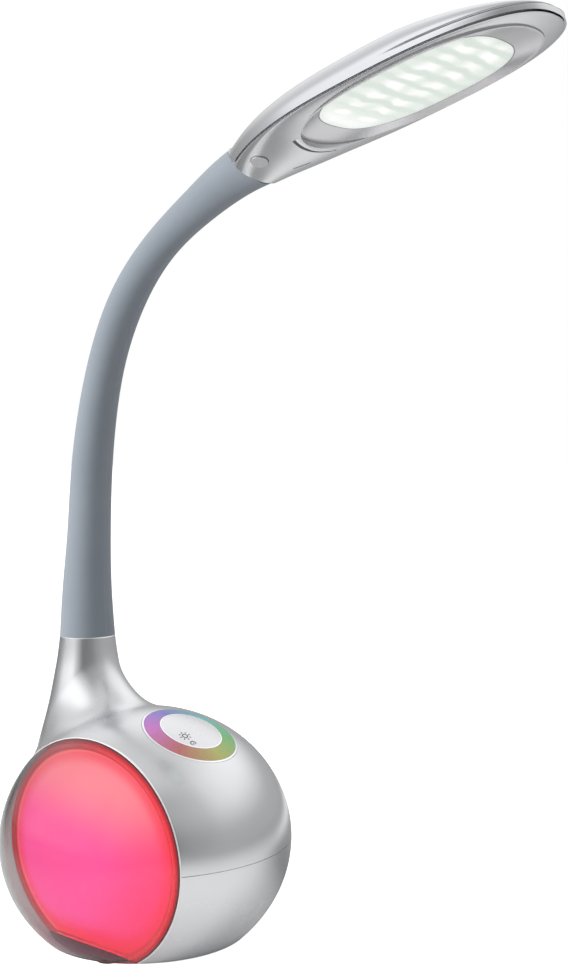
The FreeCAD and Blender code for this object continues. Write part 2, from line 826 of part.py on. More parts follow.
def upper_hollow():
    last = last_station(head_wall, 2.2)
    return Part.makeLoft([upper_section(s, head_wall, head_wall) for s in hollow_stations(last)],
                         True, False)


def lower_hollow():
    offset = seam_step + head_wall
    last = last_station(offset, 2.2)
    return Part.makeLoft([lower_section(s, offset, head_wall) for s in hollow_stations(last)],
                         True, False)


def oval_wire(at, a, b, power, z):
    n = 40
    pts = []
    for k in range(n):
        c, d = math.cos(2 * math.pi * (k + 0.5) / n), math.sin(2 * math.pi * (k + 0.5) / n)
        pts.append(V(at + a * math.copysign(abs(c) ** (2 / power), c),
                     b * math.copysign(abs(d) ** (2 / power), d), z))
    curve = Part.BSplineCurve()
    curve.interpolate(pts, PeriodicFlag=True)
    return Part.Wire([curve.toShape()])


def oval(at, a, b, power, low, high):
    return Part.Face(oval_wire(at, a, b, power, low)).extrude(V(0, 0, high - low))


def head_top_shell():
    shell = upper_solid(0.0).cut(upper_hollow())
    ceiling = upper_solid(head_wall / 2)
    low = led_board_low + led_board_thickness + heat_plate_thickness
    for x in head_post_stations:
        at = lens_at + x
        post = rod(head_post_radius, (at, 0, low), (at, 0, top_height * 2)).common(ceiling)
        shell = shell.fuse(post)
    for x in head_post_stations:
        at = lens_at + x
        shell = shell.cut(rod(head_screw_radius, (at, 0, low - 1), (at, 0, low + head_screw_grip + 0.5)))
    return one(shell.cut(behind_joint()))


def head_underside():
    shell = lower_solid(seam_step).cut(lower_hollow())
    hole = oval(bezel_at, bezel_half_length + bezel_gap, bezel_half_width + bezel_gap, bezel_power,
                -2 * top_height, 0)
    notch = oval(bezel_at - notch_width, bezel_half_length + bezel_gap, bezel_half_width * 0.8,
                 bezel_power, -2 * top_height, 0)
    notch = notch.cut(box(bezel_at - bezel_half_length * 0.7, big, -big, big, -big, big))
    shell = shell.cut(hole).cut(notch)
    place, travel = button_frame()
    hole = rod(button_radius + button_clearance, (0, 0, -button_length), (0, 0, button_length))
    hole.Placement = place
    shell = shell.cut(hole)
    for post in switch_posts():
        shell = shell.fuse(post)
    return one(shell.cut(behind_joint()))


def head_bezel():
    outer = oval(bezel_at, bezel_half_length, bezel_half_width, bezel_power, bezel_low, bezel_top)
    low = oval_wire(bezel_at, bezel_half_length - bezel_lip, bezel_half_width - bezel_lip, bezel_power,
                    bezel_low)
    high = oval_wire(lens_at, lens_half_length + bezel_gap, lens_half_width + bezel_gap, lens_power,
                     lens_low)
    dish = Part.makeLoft([low, high], True, True)
    through = oval(lens_at, lens_half_length + bezel_gap, lens_half_width + bezel_gap, lens_power,
                   lens_low, bezel_top + 1)
    return one(outer.cut(dish).cut(through))


def led_lens():
    body = oval(lens_at, lens_half_length, lens_half_width, lens_power, lens_low, bezel_top)
    flange = oval(lens_at, lens_half_length + lens_flange, lens_half_width + lens_flange, lens_power,
                  bezel_top, bezel_top + lens_flange_thickness)
    return one(body.fuse(flange))


def with_screw_holes(solid):
    for x in head_post_stations:
        at = lens_at + x
        solid = solid.cut(rod(head_screw_radius + fit_gap, (at, 0, 0), (at, 0, top_height)))
    return one(solid)


def led_board():
    return with_screw_holes(oval(lens_at, led_board_half_length, led_board_half_width, 2.2,
                                 led_board_low, led_board_low + led_board_thickness))


def led_array():
    leds = []
    for i in range(led_columns):
        for j in range(led_rows):
            x = lens_at + (i - (led_columns - 1) / 2) * led_pitch
            y = (j - (led_rows - 1) / 2) * led_row_pitch
            leds.append(box(x - led_width / 2, x + led_width / 2, y - led_length / 2,
                            y + led_length / 2, led_board_low - led_height, led_board_low))
    return Part.makeCompound(leds)


def heat_plate():
    low = led_board_low + led_board_thickness
    return with_screw_holes(oval(lens_at, led_board_half_length + heat_plate_margin,
                                 led_board_half_width + heat_plate_margin, 2.2, low,
                                 low + heat_plate_thickness))


def head_screws():
    screws = []
    top = led_board_low + led_board_thickness + heat_plate_thickness + head_screw_grip
    for x in head_post_stations:
        at = lens_at + x
        head = rod(head_screw_head_radius, (at, 0, led_board_low - head_screw_head_height),
                   (at, 0, led_board_low))
        shank = rod(head_screw_radius, (at, 0, led_board_low), (at, 0, top))
        screws.append(one(head.fuse(shank).removeSplitter()))
    return Part.makeCompound(screws)


def button_frame():
    """Placement on the underside at the button, Z pointing into the head, and that direction."""
    w, d = half_width(button_s) - seam_step, depth(button_s)
    rise = math.sqrt(1 - (button_y / w) ** 2)
    inward = V(0, -button_y / w ** 2, rise / d).normalize()
    centre = V(button_s, button_y, seam_height - d * rise)
    return FreeCAD.Placement(centre, FreeCAD.Rotation(V(0, 0, 1), inward)), inward


def in_button_frame(shape):
    place, inward = button_frame()
    shape.Placement = place.multiply(shape.Placement)
    return shape


def power_button():
    body = rod(button_radius, (0, 0, -button_proud), (0, 0, button_length))
    flange = rod(button_radius + button_flange, (0, 0, button_flange_start),
                 (0, 0, button_flange_start + button_flange_thickness))
    return one(in_button_frame(body.fuse(flange).removeSplitter()))


def switch_level():
    return button_length + button_travel + switch_stem_gap


def switch_post_offset():
    """Posts stand clear of the button's flange."""
    return button_radius + button_flange + joint_gap + switch_post_radius


def button_switch():
    low = switch_level()
    half, edge = switch_side / 2, switch_board_width / 2
    end = switch_post_offset() + switch_post_radius
    body = box(-half, half, -half, half, low, low + switch_height)
    board = box(-end, end, -edge, edge, low + switch_height,
                low + switch_height + switch_board_thickness)
    return one(in_button_frame(body.fuse(board)))


def switch_posts():
    """Two ribs on the underside that carry the switch board."""
    at = switch_post_offset()
    posts = []
    for side in (-1, 1):
        post = rod(switch_post_radius, (side * at, 0, head_wall / 2),
                   (side * at, 0, switch_level() + switch_height))
        posts.append(in_button_frame(post))
    return posts


def neck_bracket():
    """Block that grips the end of the neck, filling the head's throat."""
    inner = upper_solid(head_wall).fuse(lower_solid(seam_step + head_wall))
    block = box(-bracket_radius, bracket_length, -bracket_radius, bracket_radius, -big / 9, big / 9)
    block = placed(block.common(inner).cut(behind_joint()))
    a, b = neck_run(len(neck_pivots))
    axis = (b - a).normalize()
    far = b + axis * (2 * bracket_length)
    near = b - axis * bracket_length
    return one(block.cut(straight(near, far, conduit_radius + fit_gap, conduit_radius + fit_gap)))


def head_leads():
    """The two leads from the last neck joint to the light's board."""
    spread = wire_radius + fit_gap / 2
    count = len(neck_pivots)
    a, b = neck_run(count)
    axis = (b - a).normalize()
    out = b + axis * (bracket_length * 1.1)
    board_edge = head_place().multVec(V(lens_at - led_board_half_length + wire_radius / 2, 0,
                                        led_board_low + led_board_thickness / 2))
    leads = []
    for side in (-1, 1):
        y = V(0, side * spread, 0)
        first = straight(a + y, out + y, wire_radius, wire_radius).cut(ball(count - 1, joint_gap))
        second = straight(out + y, board_edge + y, wire_radius, wire_radius)
        knee = Part.makeSphere(wire_radius, out + y)
        lead = first.fuse(knee).fuse(second)
        leads.append(one(lead.cut(placed(led_board())).cut(placed(heat_plate()))))
    return Part.makeCompound(leads)


# ---------------------------------------------------------------- all pieces
def build():
    outer, inner = skins()
    pieces = {
        "body_upper_shell": upper_shell(outer, inner),
        "body_lower_shell": lower_shell(),
        "clear_dome": clear_dome(outer),
        "window_rim": window_rim(inner),
        "mood_diffuser": mood_diffuser(),
        "light_reflector": light_reflector(),
        "mood_board": mood_board(),
        "mood_leds": mood_leds(),
        "touch_trim": pad_piece(outer, pad_radius - pad_gap, trim_inner()),
        "touch_ring": pad_piece(outer, trim_inner() - pad_gap, ring_inner()),
        "touch_disc": pad_piece(outer, ring_inner() - pad_gap, 0),
        "touch_board": pad_rod(pad_radius - pad_seat_width - pad_gap,
                               pad_level() - touch_board_thickness, pad_level()),
        "main_board": main_board(),
        "board_parts": board_parts(),
        "board_standoffs": board_standoffs(),
        "dc_inlet": dc_inlet(),
        "ballast": ballast(),
        "rubber_feet": rubber_feet(),
        "centre_pad": centre_pad(),
        "body_screws": body_screws(),
        "neck_ferrule": neck_ferrule(),
        "neck_leads": neck_leads(),
        "head_top_shell": placed(head_top_shell()),
        "head_underside": placed(head_underside()),
        "head_bezel": placed(head_bezel()),
        "led_lens": placed(led_lens()),
        "led_board": placed(led_board()),
        "led_array": placed(led_array()),
        "heat_plate": placed(heat_plate()),
        "head_screws": placed(head_screws()),
        "power_button": placed(power_button()),
        "button_switch": placed(button_switch()),
        "neck_bracket": neck_bracket(),
        "head_leads": head_leads(),
    }
    count = len(neck_pivots)
    for k in range(count + 1):
        name = "root" if k == 0 else "end" if k == count else str(k)
        pieces["sleeve_" + name] = sleeve(k)
        pieces["conduit_" + name] = conduit(k)
        if 0 < k < count:
            pieces["wires_" + name] = wire_pair(k)
    return pieces


if __name__ == "__main__":
    os.makedirs("parts", exist_ok=True)
    for name, shape in build().items():
        shape.exportStep("parts/" + name + ".step")
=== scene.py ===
import colorsys
import json
import math

import bpy
import numpy as np
from bpy.props import FloatProperty, FloatVectorProperty, IntProperty, PointerProperty
from bpy.types import Operator, Panel, PropertyGroup
from mathutils import Matrix, Vector


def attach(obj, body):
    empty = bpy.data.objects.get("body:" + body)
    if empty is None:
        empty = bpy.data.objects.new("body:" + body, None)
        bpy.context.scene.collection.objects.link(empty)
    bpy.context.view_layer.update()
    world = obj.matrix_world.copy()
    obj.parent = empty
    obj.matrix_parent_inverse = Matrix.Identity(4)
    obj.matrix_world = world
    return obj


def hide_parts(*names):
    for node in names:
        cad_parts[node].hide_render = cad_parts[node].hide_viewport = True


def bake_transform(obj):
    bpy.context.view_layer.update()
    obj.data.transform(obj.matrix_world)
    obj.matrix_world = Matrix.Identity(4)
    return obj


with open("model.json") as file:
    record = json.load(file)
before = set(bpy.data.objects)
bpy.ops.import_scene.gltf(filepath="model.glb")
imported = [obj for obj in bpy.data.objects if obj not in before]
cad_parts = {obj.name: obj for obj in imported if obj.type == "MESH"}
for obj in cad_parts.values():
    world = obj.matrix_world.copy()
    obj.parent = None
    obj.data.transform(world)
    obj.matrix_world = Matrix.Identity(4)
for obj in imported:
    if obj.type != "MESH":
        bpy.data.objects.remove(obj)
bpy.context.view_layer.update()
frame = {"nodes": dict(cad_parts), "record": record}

bl_info = {
    "name": "Globe desk lamp",
    "version": (1, 0, 0),
    "blender": (4, 5, 0),
    "location": "3D View > Sidebar > Lamp",
    "description": "Builds a desk lamp with a globe base, a bendable neck and an oval light head",
    "category": "Object",
}

MM = 0.001
BODY_CHAIN = ["base"] + ["neck_%d" % k for k in range(1, 8)] + ["head"]
SIDEWAYS, FORWARD = np.array([0.0, 1.0, 0.0]), np.array([0.0, -1.0, 0.0])
UP, DOWN = np.array([0.0, 0.0, 1.0]), np.array([0.0, 0.0, -1.0])
SLOTS = {part["node"]: part["material_slot"] for part in frame["record"]["subparts"]}

# Trumpet-shaped root of the neck: (height above the globe's highest skin, radius).
HORN = [(29.9, 12.9), (18.8, 14.4), (10.8, 15.9), (1.3, 17.8), (-8.7, 20.3), (-18.2, 22.9),
        (-28.1, 25.0), (-41.7, 26.0), (-52.7, 25.4), (-62.7, 23.6)]
# Bends of the neck: (ahead of the horn's axis, height above the horn, sleeve radius).
NECK = [(0.0, 0.0, 12.9), (0.0, 20.5, 11.6), (1.6, 47.5, 10.2), (3.6, 75.0, 9.65),
        (7.9, 103.0, 9.05), (15.9, 130.7, 8.5), (29.7, 156.7, 8.3), (50.2, 178.0, 7.75),
        (75.8, 194.0, 8.5), (102.6, 206.0, 10.2)]
# Underside of the head: (station along the head, depth below the seam).
DEPTHS = [(-12.0, 9.6), (0.0, 9.5), (7.0, 8.9), (12.0, 8.05), (24.0, 6.4), (36.0, 4.3),
          (48.0, 2.9), (65.0, 2.2), (90.0, 2.0), (130.0, 1.8), (146.0, 1.3), (151.5, 0.7)]
# Studio walls round the lamp near the floor and high up: (share of a turn, brightness), with the
# camera's side at 0.5.
LOW_WALLS = [(0.0, 0.38), (0.10, 0.42), (0.15, 0.56), (0.20, 0.78), (0.245, 1.38), (0.365, 1.42),
             (0.415, 0.66), (0.465, 0.20), (0.565, 0.24), (0.62, 0.38), (0.70, 0.49), (0.85, 0.50),
             (0.92, 0.48), (1.0, 0.38)]
HIGH_WALLS = [(0.0, 1.15), (0.12, 0.98), (0.20, 0.86), (0.235, 0.95), (0.28, 1.45), (0.34, 1.42),
              (0.41, 0.78), (0.47, 0.44), (0.57, 0.50), (0.66, 0.62), (0.72, 0.95), (0.78, 1.10),
              (0.88, 1.20), (1.0, 1.15)]
# Hue wheel of the touch ring: even steps of hue from blue at the side next to the neck.
RING_STEPS, RING_START, RING_SATURATION, RING_BRIGHTNESS = 12, 2 / 3, 0.7, 0.5

# Fits and details, in millimetres.
SHELL_GAP = 0.12                      # half of a fine joint line
SLEEVE_GAP = 0.22                     # between the sleeve's end and the head's slanted joint
DOME_GAP = 0.04                       # between the window's plane and the clear dome
PANEL_RISE, PANEL_BULGE = 1.6, 1.6    # panel's face: foot above its rim's foot, and its bulge
RIDGE_HEIGHT, RIDGE_WIDTH = 0.14, 0.38
SLEEVE_END_RADIUS, SLEEVE_END_RUN = 10.6, 14.0
BLEND_REACH = 9.0                     # length of a bend to each side of its pivot
PRINT_LIFT, PRINT_WIDTH = 0.03, 0.5   # marks on the touch disc
PAD_RIM_INSET = 0.42
# The head in its own axes, in millimetres: stations run from the neck joint to the tip.
HEAD_REAR = -11.0
WIDEST_FROM_TIP, PEAK_FROM_TIP = 73.5, 56.5
COVER_RING, UNDERSIDE_RING = 10.3, 9.9
UNDERSIDE_INSET, UNDERSIDE_DROP = 0.8, 0.6
JOINT_AT, JOINT_SLOPE = 1.4, 0.62     # slanted joint with the sleeve: station, fall per rise
BEZEL_AT, BEZEL_LONG, BEZEL_WIDE, BEZEL_POWER = 89.0, 53.32, 27.12, 2.35
LENS_AT, LENS_LONG, LENS_WIDE, LENS_POWER = 88.0, 40.6, 24.2, 2.7
LED_PITCH, LED_ROW = 8.4, 8.0         # step along a row, and a row's distance from the middle
BUTTON_AT, BUTTON_ACROSS, BUTTON_HOLE = 17.4, -13.4, 3.8


# ---------------------------------------------------------------- settings
def length(name, description, millimetres):
    return FloatProperty(name=name, description=description, default=millimetres * MM, unit="LENGTH",
                         precision=5)


def colour(name, description, value):
    return FloatVectorProperty(name=name, description=description, default=value, size=3, min=0.0,
                               max=1.0, subtype="COLOR")


class LampSizes(PropertyGroup):
    globe_radius: length("Globe radius", "Half of the globe's width", 66.0)
    globe_half_height: length("Globe half height", "Half of the whole globe's height", 58.7)
    globe_centre: length("Globe centre", "Height of the globe's centre above the desk", 43.4)
    flat_bottom: length("Flat bottom", "Height of the globe's flat bottom above the desk", 1.2)
    parting: length("Parting line", "Height of the joint between the two shells", 43.0)
    wall: length("Shell wall", "Wall of the globe's shells", 2.2)
    window: length("Window plane", "Distance of the round window from the globe's centre", 35.0)
    dome_wall: length("Dome wall", "Wall of the clear dome", 2.0)
    horn_axis: length("Horn axis", "Distance of the neck's root behind the globe's centre", 38.6)
    horn_blend: length("Horn blend", "Radius of the fillet between globe and horn", 24.0)
    edge: length("Edge", "Rounding of the shells' free edges", 0.6)
    pad_radius: length("Pad radius", "Radius of the touch pad's seat", 22.0)
    pad_disc: length("Pad disc radius", "Radius of the silver disc inside the colour ring", 14.4)
    head_length: length("Head length", "From the neck joint to the tip", 151.5)
    head_half_width: length("Head half width", "Half of the head's greatest width", 31.0)
    neck_end_half_width: length("Neck end half width", "Half of the head's width at the neck", 10.6)
    top_height: length("Cover height", "Height of the head's cover above its rim", 15.0)
    rim_band: length("Rim band", "Height of the upright band round the cover", 2.6)
    seam: length("Seam level", "Level of the joint between cover and underside", -1.0)


class LampAngles(PropertyGroup):
    pad_tilt: FloatProperty(name="Pad tilt", description="Tilt of the touch pad towards the front",
                            default=math.radians(23.6), subtype="ANGLE", unit="ROTATION")
    head_tilt: FloatProperty(name="Head tilt", description="Slope of the head, nose up",
                             default=math.radians(13.75), subtype="ANGLE", unit="ROTATION")
    sides: IntProperty(name="Sides", description="Facets round the neck's sleeve", default=64, min=16)


class LampColours(PropertyGroup):
    shell: colour("Shell paint", "Satin silver of the globe and horn", (0.72, 0.73, 0.75))
    head: colour("Head paint", "Glossy silver of the head's cover", (0.60, 0.61, 0.635))
    underside: colour("Underside paint", "Satin silver of the head's underside", (0.74, 0.75, 0.77))
    bezel: colour("Bezel paint", "Light silver ring round the light", (0.72, 0.72, 0.74))
    trim: colour("Trim", "Bright silver trims", (0.88, 0.88, 0.90))
    sleeve: colour("Sleeve", "Blue grey silicone of the neck", (0.215, 0.248, 0.29))
    glow_middle: colour("Mood light, middle", "Magenta pink of the mood light", (1.0, 0.085, 0.315))
    glow_upper: colour("Mood light, upper", "Salmon of the mood light's upper side", (1.0, 0.24, 0.29))
    glow_lower: colour("Mood light, lower", "Red of the mood light's lower edge", (1.0, 0.03, 0.07))
    # The rim's darker coral on the left is painted shade.
    glow_edge: colour("Mood light, edge", "Coral of the mood light's rim", (0.50, 0.035, 0.045))


def mm(name):
    """One of the lamp's sizes in millimetres."""
    return getattr(bpy.context.scene.lamp_sizes, name) / MM


def horn_top():
    """Level of the horn's top, where the neck begins."""
    return mm("globe_centre") + mm("globe_half_height") + HORN[0][0]


# ---------------------------------------------------------------- shader helpers
class Shading:
    """A material's or group's nodes, with short calls to add and join them."""

    def __init__(self, tree):
        self.nodes, self.links = tree.nodes, tree.links

    def add(self, kind, **settings):
        node = self.nodes.new(kind)
        for key, value in settings.items():
            setattr(node, key, value)
        return node

    def join(self, value, socket):
        """Feeds a socket from another one, or gives it a plain value."""
        if isinstance(value, bpy.types.NodeSocket):
            self.links.new(value, socket)
        else:
            socket.default_value = value

    def fill(self, node, **values):
        for key, value in values.items():
            self.join(value, node.inputs[key.replace("_", " ")])
        return node

    def feed(self, node, *values):
        for value, socket in zip(values, node.inputs):
            self.join(value, socket)
        return node.outputs

    def place(self):
        return self.add("ShaderNodeTexCoord").outputs["Object"]

    def noise(self, place, scale, detail=2.0, distortion=0.0):
        node = self.fill(self.add("ShaderNodeTexNoise"), Vector=place, Scale=scale, Detail=detail,
                         Distortion=distortion)
        return node.outputs["Fac"]

    def span(self, value, low, high, to_low=0.0, to_high=1.0, smooth=True):
        node = self.add("ShaderNodeMapRange", interpolation_type="SMOOTHSTEP" if smooth else "LINEAR")
        self.fill(node, Value=value, From_Min=low, From_Max=high, To_Min=to_low, To_Max=to_high)
        return node.outputs["Result"]

    def maths(self, operation, *values):
        return self.feed(self.add("ShaderNodeMath", operation=operation), *values)[0]

    def vector(self, operation, *values):
        return self.feed(self.add("ShaderNodeVectorMath", operation=operation), *values)

    def plus(self, first, second):
        return self.maths("ADD", first, second)

    def minus(self, first, second):
        return self.maths("SUBTRACT", first, second)

    def times(self, first, second):
        return self.maths("MULTIPLY", first, second)

    def over(self, first, second):
        return self.maths("DIVIDE", first, second)

    def mix(self, share, first, second):
        node = self.add("ShaderNodeMix", data_type="RGBA")
        self.join(share, node.inputs[0])
        for index, tint in ((6, first), (7, second)):
            ready = isinstance(tint, bpy.types.NodeSocket)
            self.join(tint if ready else (*tint[:3], 1.0), node.inputs[index])
        return node.outputs[2]

    def bump(self, height, strength, distance):
        node = self.fill(self.add("ShaderNodeBump"), Height=height, Strength=strength,
                         Distance=distance)
        return node.outputs["Normal"]

    def axes(self, place):
        return self.feed(self.add("ShaderNodeSeparateXYZ"), place)


SOCKETS = {"Colour": "NodeSocketColor", "Normal": "NodeSocketVector"}


def new_group(name, inputs, outputs):
    """Empty shader group with the named sockets, and its nodes."""
    tree = bpy.data.node_groups.new(name, "ShaderNodeTree")
    for label, value in inputs.items():
        kind = SOCKETS.get(label, "NodeSocketFloat")
        tree.interface.new_socket(label, in_out="INPUT", socket_type=kind).default_value = value
    for label in outputs:
        kind = SOCKETS.get(label, "NodeSocketFloat")
        tree.interface.new_socket(label, in_out="OUTPUT", socket_type=kind)
    s = Shading(tree)
    return tree, s, s.add("NodeGroupInput").outputs, s.add("NodeGroupOutput").inputs


def metal_flakes():
    """Colour and normal of silver paint with fine metal flakes in it."""
    tree, s, given, result = new_group(
        "metal_flakes", {"Colour": (0.7, 0.7, 0.7, 1), "Scale": 1600.0, "Contrast": 0.08, "Depth": 0.004},
        ("Colour", "Normal"))
    place = s.place()
    flakes = s.fill(s.add("ShaderNodeTexVoronoi"), Vector=place, Scale=given["Scale"])
    grey = s.times(s.axes(flakes.outputs["Color"])[0], given["Contrast"])
    share = s.plus(grey, s.times(s.noise(place, 30.0, 3.0), 0.05))
    s.join(s.mix(share, given["Colour"], (1.0, 1.0, 1.0)), result["Colour"])
    s.join(s.bump(s.noise(place, 500.0, 1.0), given["Depth"], 0.0001), result["Normal"])
    return tree


def handling_marks():
    """Roughness with faint wiped patches and fingerprints."""
    tree, s, given, result = new_group(
        "handling_marks", {"Roughness": 0.3, "Amount": 0.06, "Scale": 22.0}, ("Roughness",))
    place = s.place()
    patches = s.span(s.noise(place, given["Scale"], distortion=0.3), 0.30, 0.80)
    fine = s.noise(place, 900.0)
    spread = s.plus(s.times(patches, given["Amount"]), s.times(fine, s.times(given["Amount"], 0.08)))
    s.join(s.plus(given["Roughness"], spread), result["Roughness"])
    return tree


def moulded_grain():
    """Colour and normal of moulded plastic or rubber with a fine even grain."""
    tree, s, given, result = new_group(
        "moulded_grain", {"Colour": (0.5, 0.5, 0.5, 1), "Scale": 1500.0, "Depth": 0.1, "Mottle": 0.06},
        ("Colour", "Normal"))
    place = s.place()
    mottle = s.times(s.noise(place, 60.0, 4.0), given["Mottle"])
    s.join(s.mix(mottle, given["Colour"], (1.0, 1.0, 1.0)), result["Colour"])
    s.join(s.bump(s.noise(place, given["Scale"]), given["Depth"], 0.0002), result["Normal"])
    return tree


def effect(s, build, **values):
    """A shader group with this material's own values. It is built when first used."""
    tree = bpy.data.node_groups.get(build.__name__) or build()
    return s.fill(s.add("ShaderNodeGroup", node_tree=tree), **values).outputs


def piece_material(name):
    """Nodes and shader of a material, new or emptied."""
    material = bpy.data.materials.get(name) or bpy.data.materials.new(name)
    material.use_nodes = True
    material.node_tree.nodes.clear()
    s = Shading(material.node_tree)
    shader = s.add("ShaderNodeBsdfPrincipled")
    s.join(shader.outputs["BSDF"], s.add("ShaderNodeOutputMaterial").inputs["Surface"])
    return s, shader


def worn_material(name, roughness, skin, values, **settings):
    """Material with its colour and normal from one effect and handling marks in its gloss."""
    s, shader = piece_material(name)
    colour_and_normal = effect(s, skin, **values)
    worn = effect(s, handling_marks, Roughness=roughness, Amount=0.05)
    s.fill(shader, Base_Color=colour_and_normal["Colour"], Normal=colour_and_normal["Normal"],
           Roughness=worn["Roughness"], **settings)


# ---------------------------------------------------------------- materials
def silver(name, tint, roughness, flakes=0.03, coat=0.0, metallic=1.0):
    worn_material(name, roughness, metal_flakes, {"Colour": (*tint, 1.0), "Contrast": flakes},
                  Metallic=metallic, Coat_Weight=coat, Coat_Roughness=0.05)


def moulded(name, tint, roughness, scale=1500.0, depth=0.1, mottle=0.06, sheen=0.0, metallic=0.0):
    worn_material(name, roughness, moulded_grain,
                  {"Colour": (*tint, 1.0), "Scale": scale, "Depth": depth, "Mottle": mottle},
                  Sheen_Weight=sheen, Metallic=metallic)


def clear_plastic():
    """Clear plastic, faintly hazed, that darkens a little through its thickness."""
    s, shader = piece_material("clear_plastic")
    place = s.place()
    tint = s.mix(s.times(s.noise(place, 14.0), 0.04), (1.0, 1.0, 1.0), (0.93, 0.95, 0.96))
    haze = s.span(s.noise(place, 35.0, 4.0), 0.4, 0.8, 0.0, 0.03)
    s.fill(shader, Base_Color=tint, Roughness=haze, Transmission_Weight=1.0, IOR=1.33)
    body = s.fill(s.add("ShaderNodeVolumeAbsorption"), Color=(0.10, 0.12, 0.13, 1.0), Density=200.0)
    output = next(node for node in s.nodes if node.type == "OUTPUT_MATERIAL")
    s.join(body.outputs[0], output.inputs["Volume"])


def window_share(s, inset):
    """Place in the window as shares of its half width and half height, and the reach from its middle."""
    x, _, z = s.axes(s.place())
    a, c = window_outline(inset)
    across = s.over(x, a * MM)
    along = s.over(s.minus(z, mm("globe_centre") * MM), c * MM)
    return across, along, s.maths("SQRT", s.plus(s.times(across, across), s.times(along, along)))


def mood_glow(colours):
    """Mood light panel: soft bands of pink, salmon and red, darker at its bevelled rim, with painted
    shade on the rim's left side and a painted highlight line along the left edge of its face.
    """
    s, shader = piece_material("mood_glow")
    across, along, reach = window_share(s, 4.0)
    drift = s.times(s.minus(s.noise(s.place(), 26.0, 1.0), 0.5), 0.22)
    rise = s.plus(s.plus(s.times(across, 0.25), along), drift)
    body = s.mix(s.span(rise, 0.0, 0.75), colours.glow_middle, colours.glow_upper)
    right = s.span(s.minus(across, s.times(along, 0.5)), 0.1, 1.0, 0.0, 0.75)
    body = s.mix(right, body, (1.0, 0.045, 0.13))
    body = s.mix(s.span(along, -0.62, -0.88), body, colours.glow_lower)
    body = s.mix(s.times(s.span(reach, 0.82, 0.96), 0.7), body, (0.95, 0.04, 0.075))
    # Share towards the left, which gets painted shade on the rim and a painted highlight line.
    painted_light_left = s.span(across, 0.45, -0.15)
    line = s.times(s.span(reach, 0.950, 0.963), s.span(reach, 0.976, 0.965))
    # Painted highlight: a light coral line at the face's edge, on the left only.
    body = s.mix(s.times(line, s.times(painted_light_left, 0.7)), body, (1.0, 0.18, 0.15))
    # Painted shade: the rim is darker coral on the left than on the right.
    edge = s.mix(painted_light_left, (0.80, 0.045, 0.06), colours.glow_edge)
    body = s.mix(s.span(reach, 0.966, 0.99), body, edge)
    s.fill(shader, Base_Color=s.mix(0.9, body, (0.0, 0.0, 0.0)), Emission_Color=body,
           Emission_Strength=1.5, Roughness=s.span(s.noise(s.place(), 400.0), 0.3, 0.7, 0.42, 0.5))


def mood_seal():
    """Seal that takes up the mood light: red inside with a painted glow of the panel's light, painted
    shade on its left side and a dark outer edge of painted shade in the gap.
    """
    s, shader = piece_material("mood_seal")
    across, _, reach = window_share(s, 0.65)
    # Painted shade: the seal is darker on its left side.
    tint = s.mix(s.span(across, 0.3, -0.3), (0.66, 0.045, 0.06), (0.36, 0.03, 0.035))
    tint = s.mix(s.span(reach, 0.97, 0.988), tint, (0.34, 0.03, 0.04))
    # Painted shade in the gap at the seal's outer edge.
    tint = s.mix(s.span(reach, 0.988, 0.997), tint, (0.075, 0.045, 0.05))
    # The emission is painted light: the glow of the panel falling on the seal.
    s.fill(shader, Base_Color=tint, Emission_Color=tint, Emission_Strength=0.8,
           Roughness=s.span(s.noise(s.place(), 300.0), 0.3, 0.7, 0.5, 0.6))


def turned_place(s, centre, tilt):
    """Place in metres from a centre, in axes turned by a tilt about the sideways one."""
    turn = s.add("ShaderNodeMapping", vector_type="TEXTURE")
    s.fill(turn, Vector=s.place(), Location=[v * MM for v in centre], Rotation=(0.0, tilt, 0.0))
    return turn.outputs[0]


def touch_colours():
    """Printed colour ring under a clear gloss, with a faint painted glow in its own colours."""
    s, shader = piece_material("touch_colours")
    sweep = s.add("ShaderNodeTexGradient", gradient_type="RADIAL")
    s.join(turned_place(s, pad_place()[0], bpy.context.scene.lamp_angles.pad_tilt), sweep.inputs[0])
    ramp = s.add("ShaderNodeValToRGB")
    stops = ramp.color_ramp.elements
    for step in range(1, RING_STEPS):
        stops.new(step / RING_STEPS)
    for stop in stops:
        hue = (RING_START + stop.position) % 1.0
        stop.color = (*colorsys.hsv_to_rgb(hue, RING_SATURATION, RING_BRIGHTNESS), 1.0)
    s.join(sweep.outputs["Fac"], ramp.inputs[0])
    fine = s.span(s.noise(s.place(), 1400.0), 0.3, 0.7, 0.0, 0.07)
    # The faint emission is a painted glow in the ring's own colours.
    s.fill(shader, Base_Color=s.mix(fine, ramp.outputs["Color"], (1.0, 1.0, 1.0)),
           Emission_Color=ramp.outputs["Color"], Emission_Strength=0.10, Specular_IOR_Level=0.25,
           Roughness=s.span(s.noise(s.place(), 50.0), 0.3, 0.7, 0.28, 0.36))


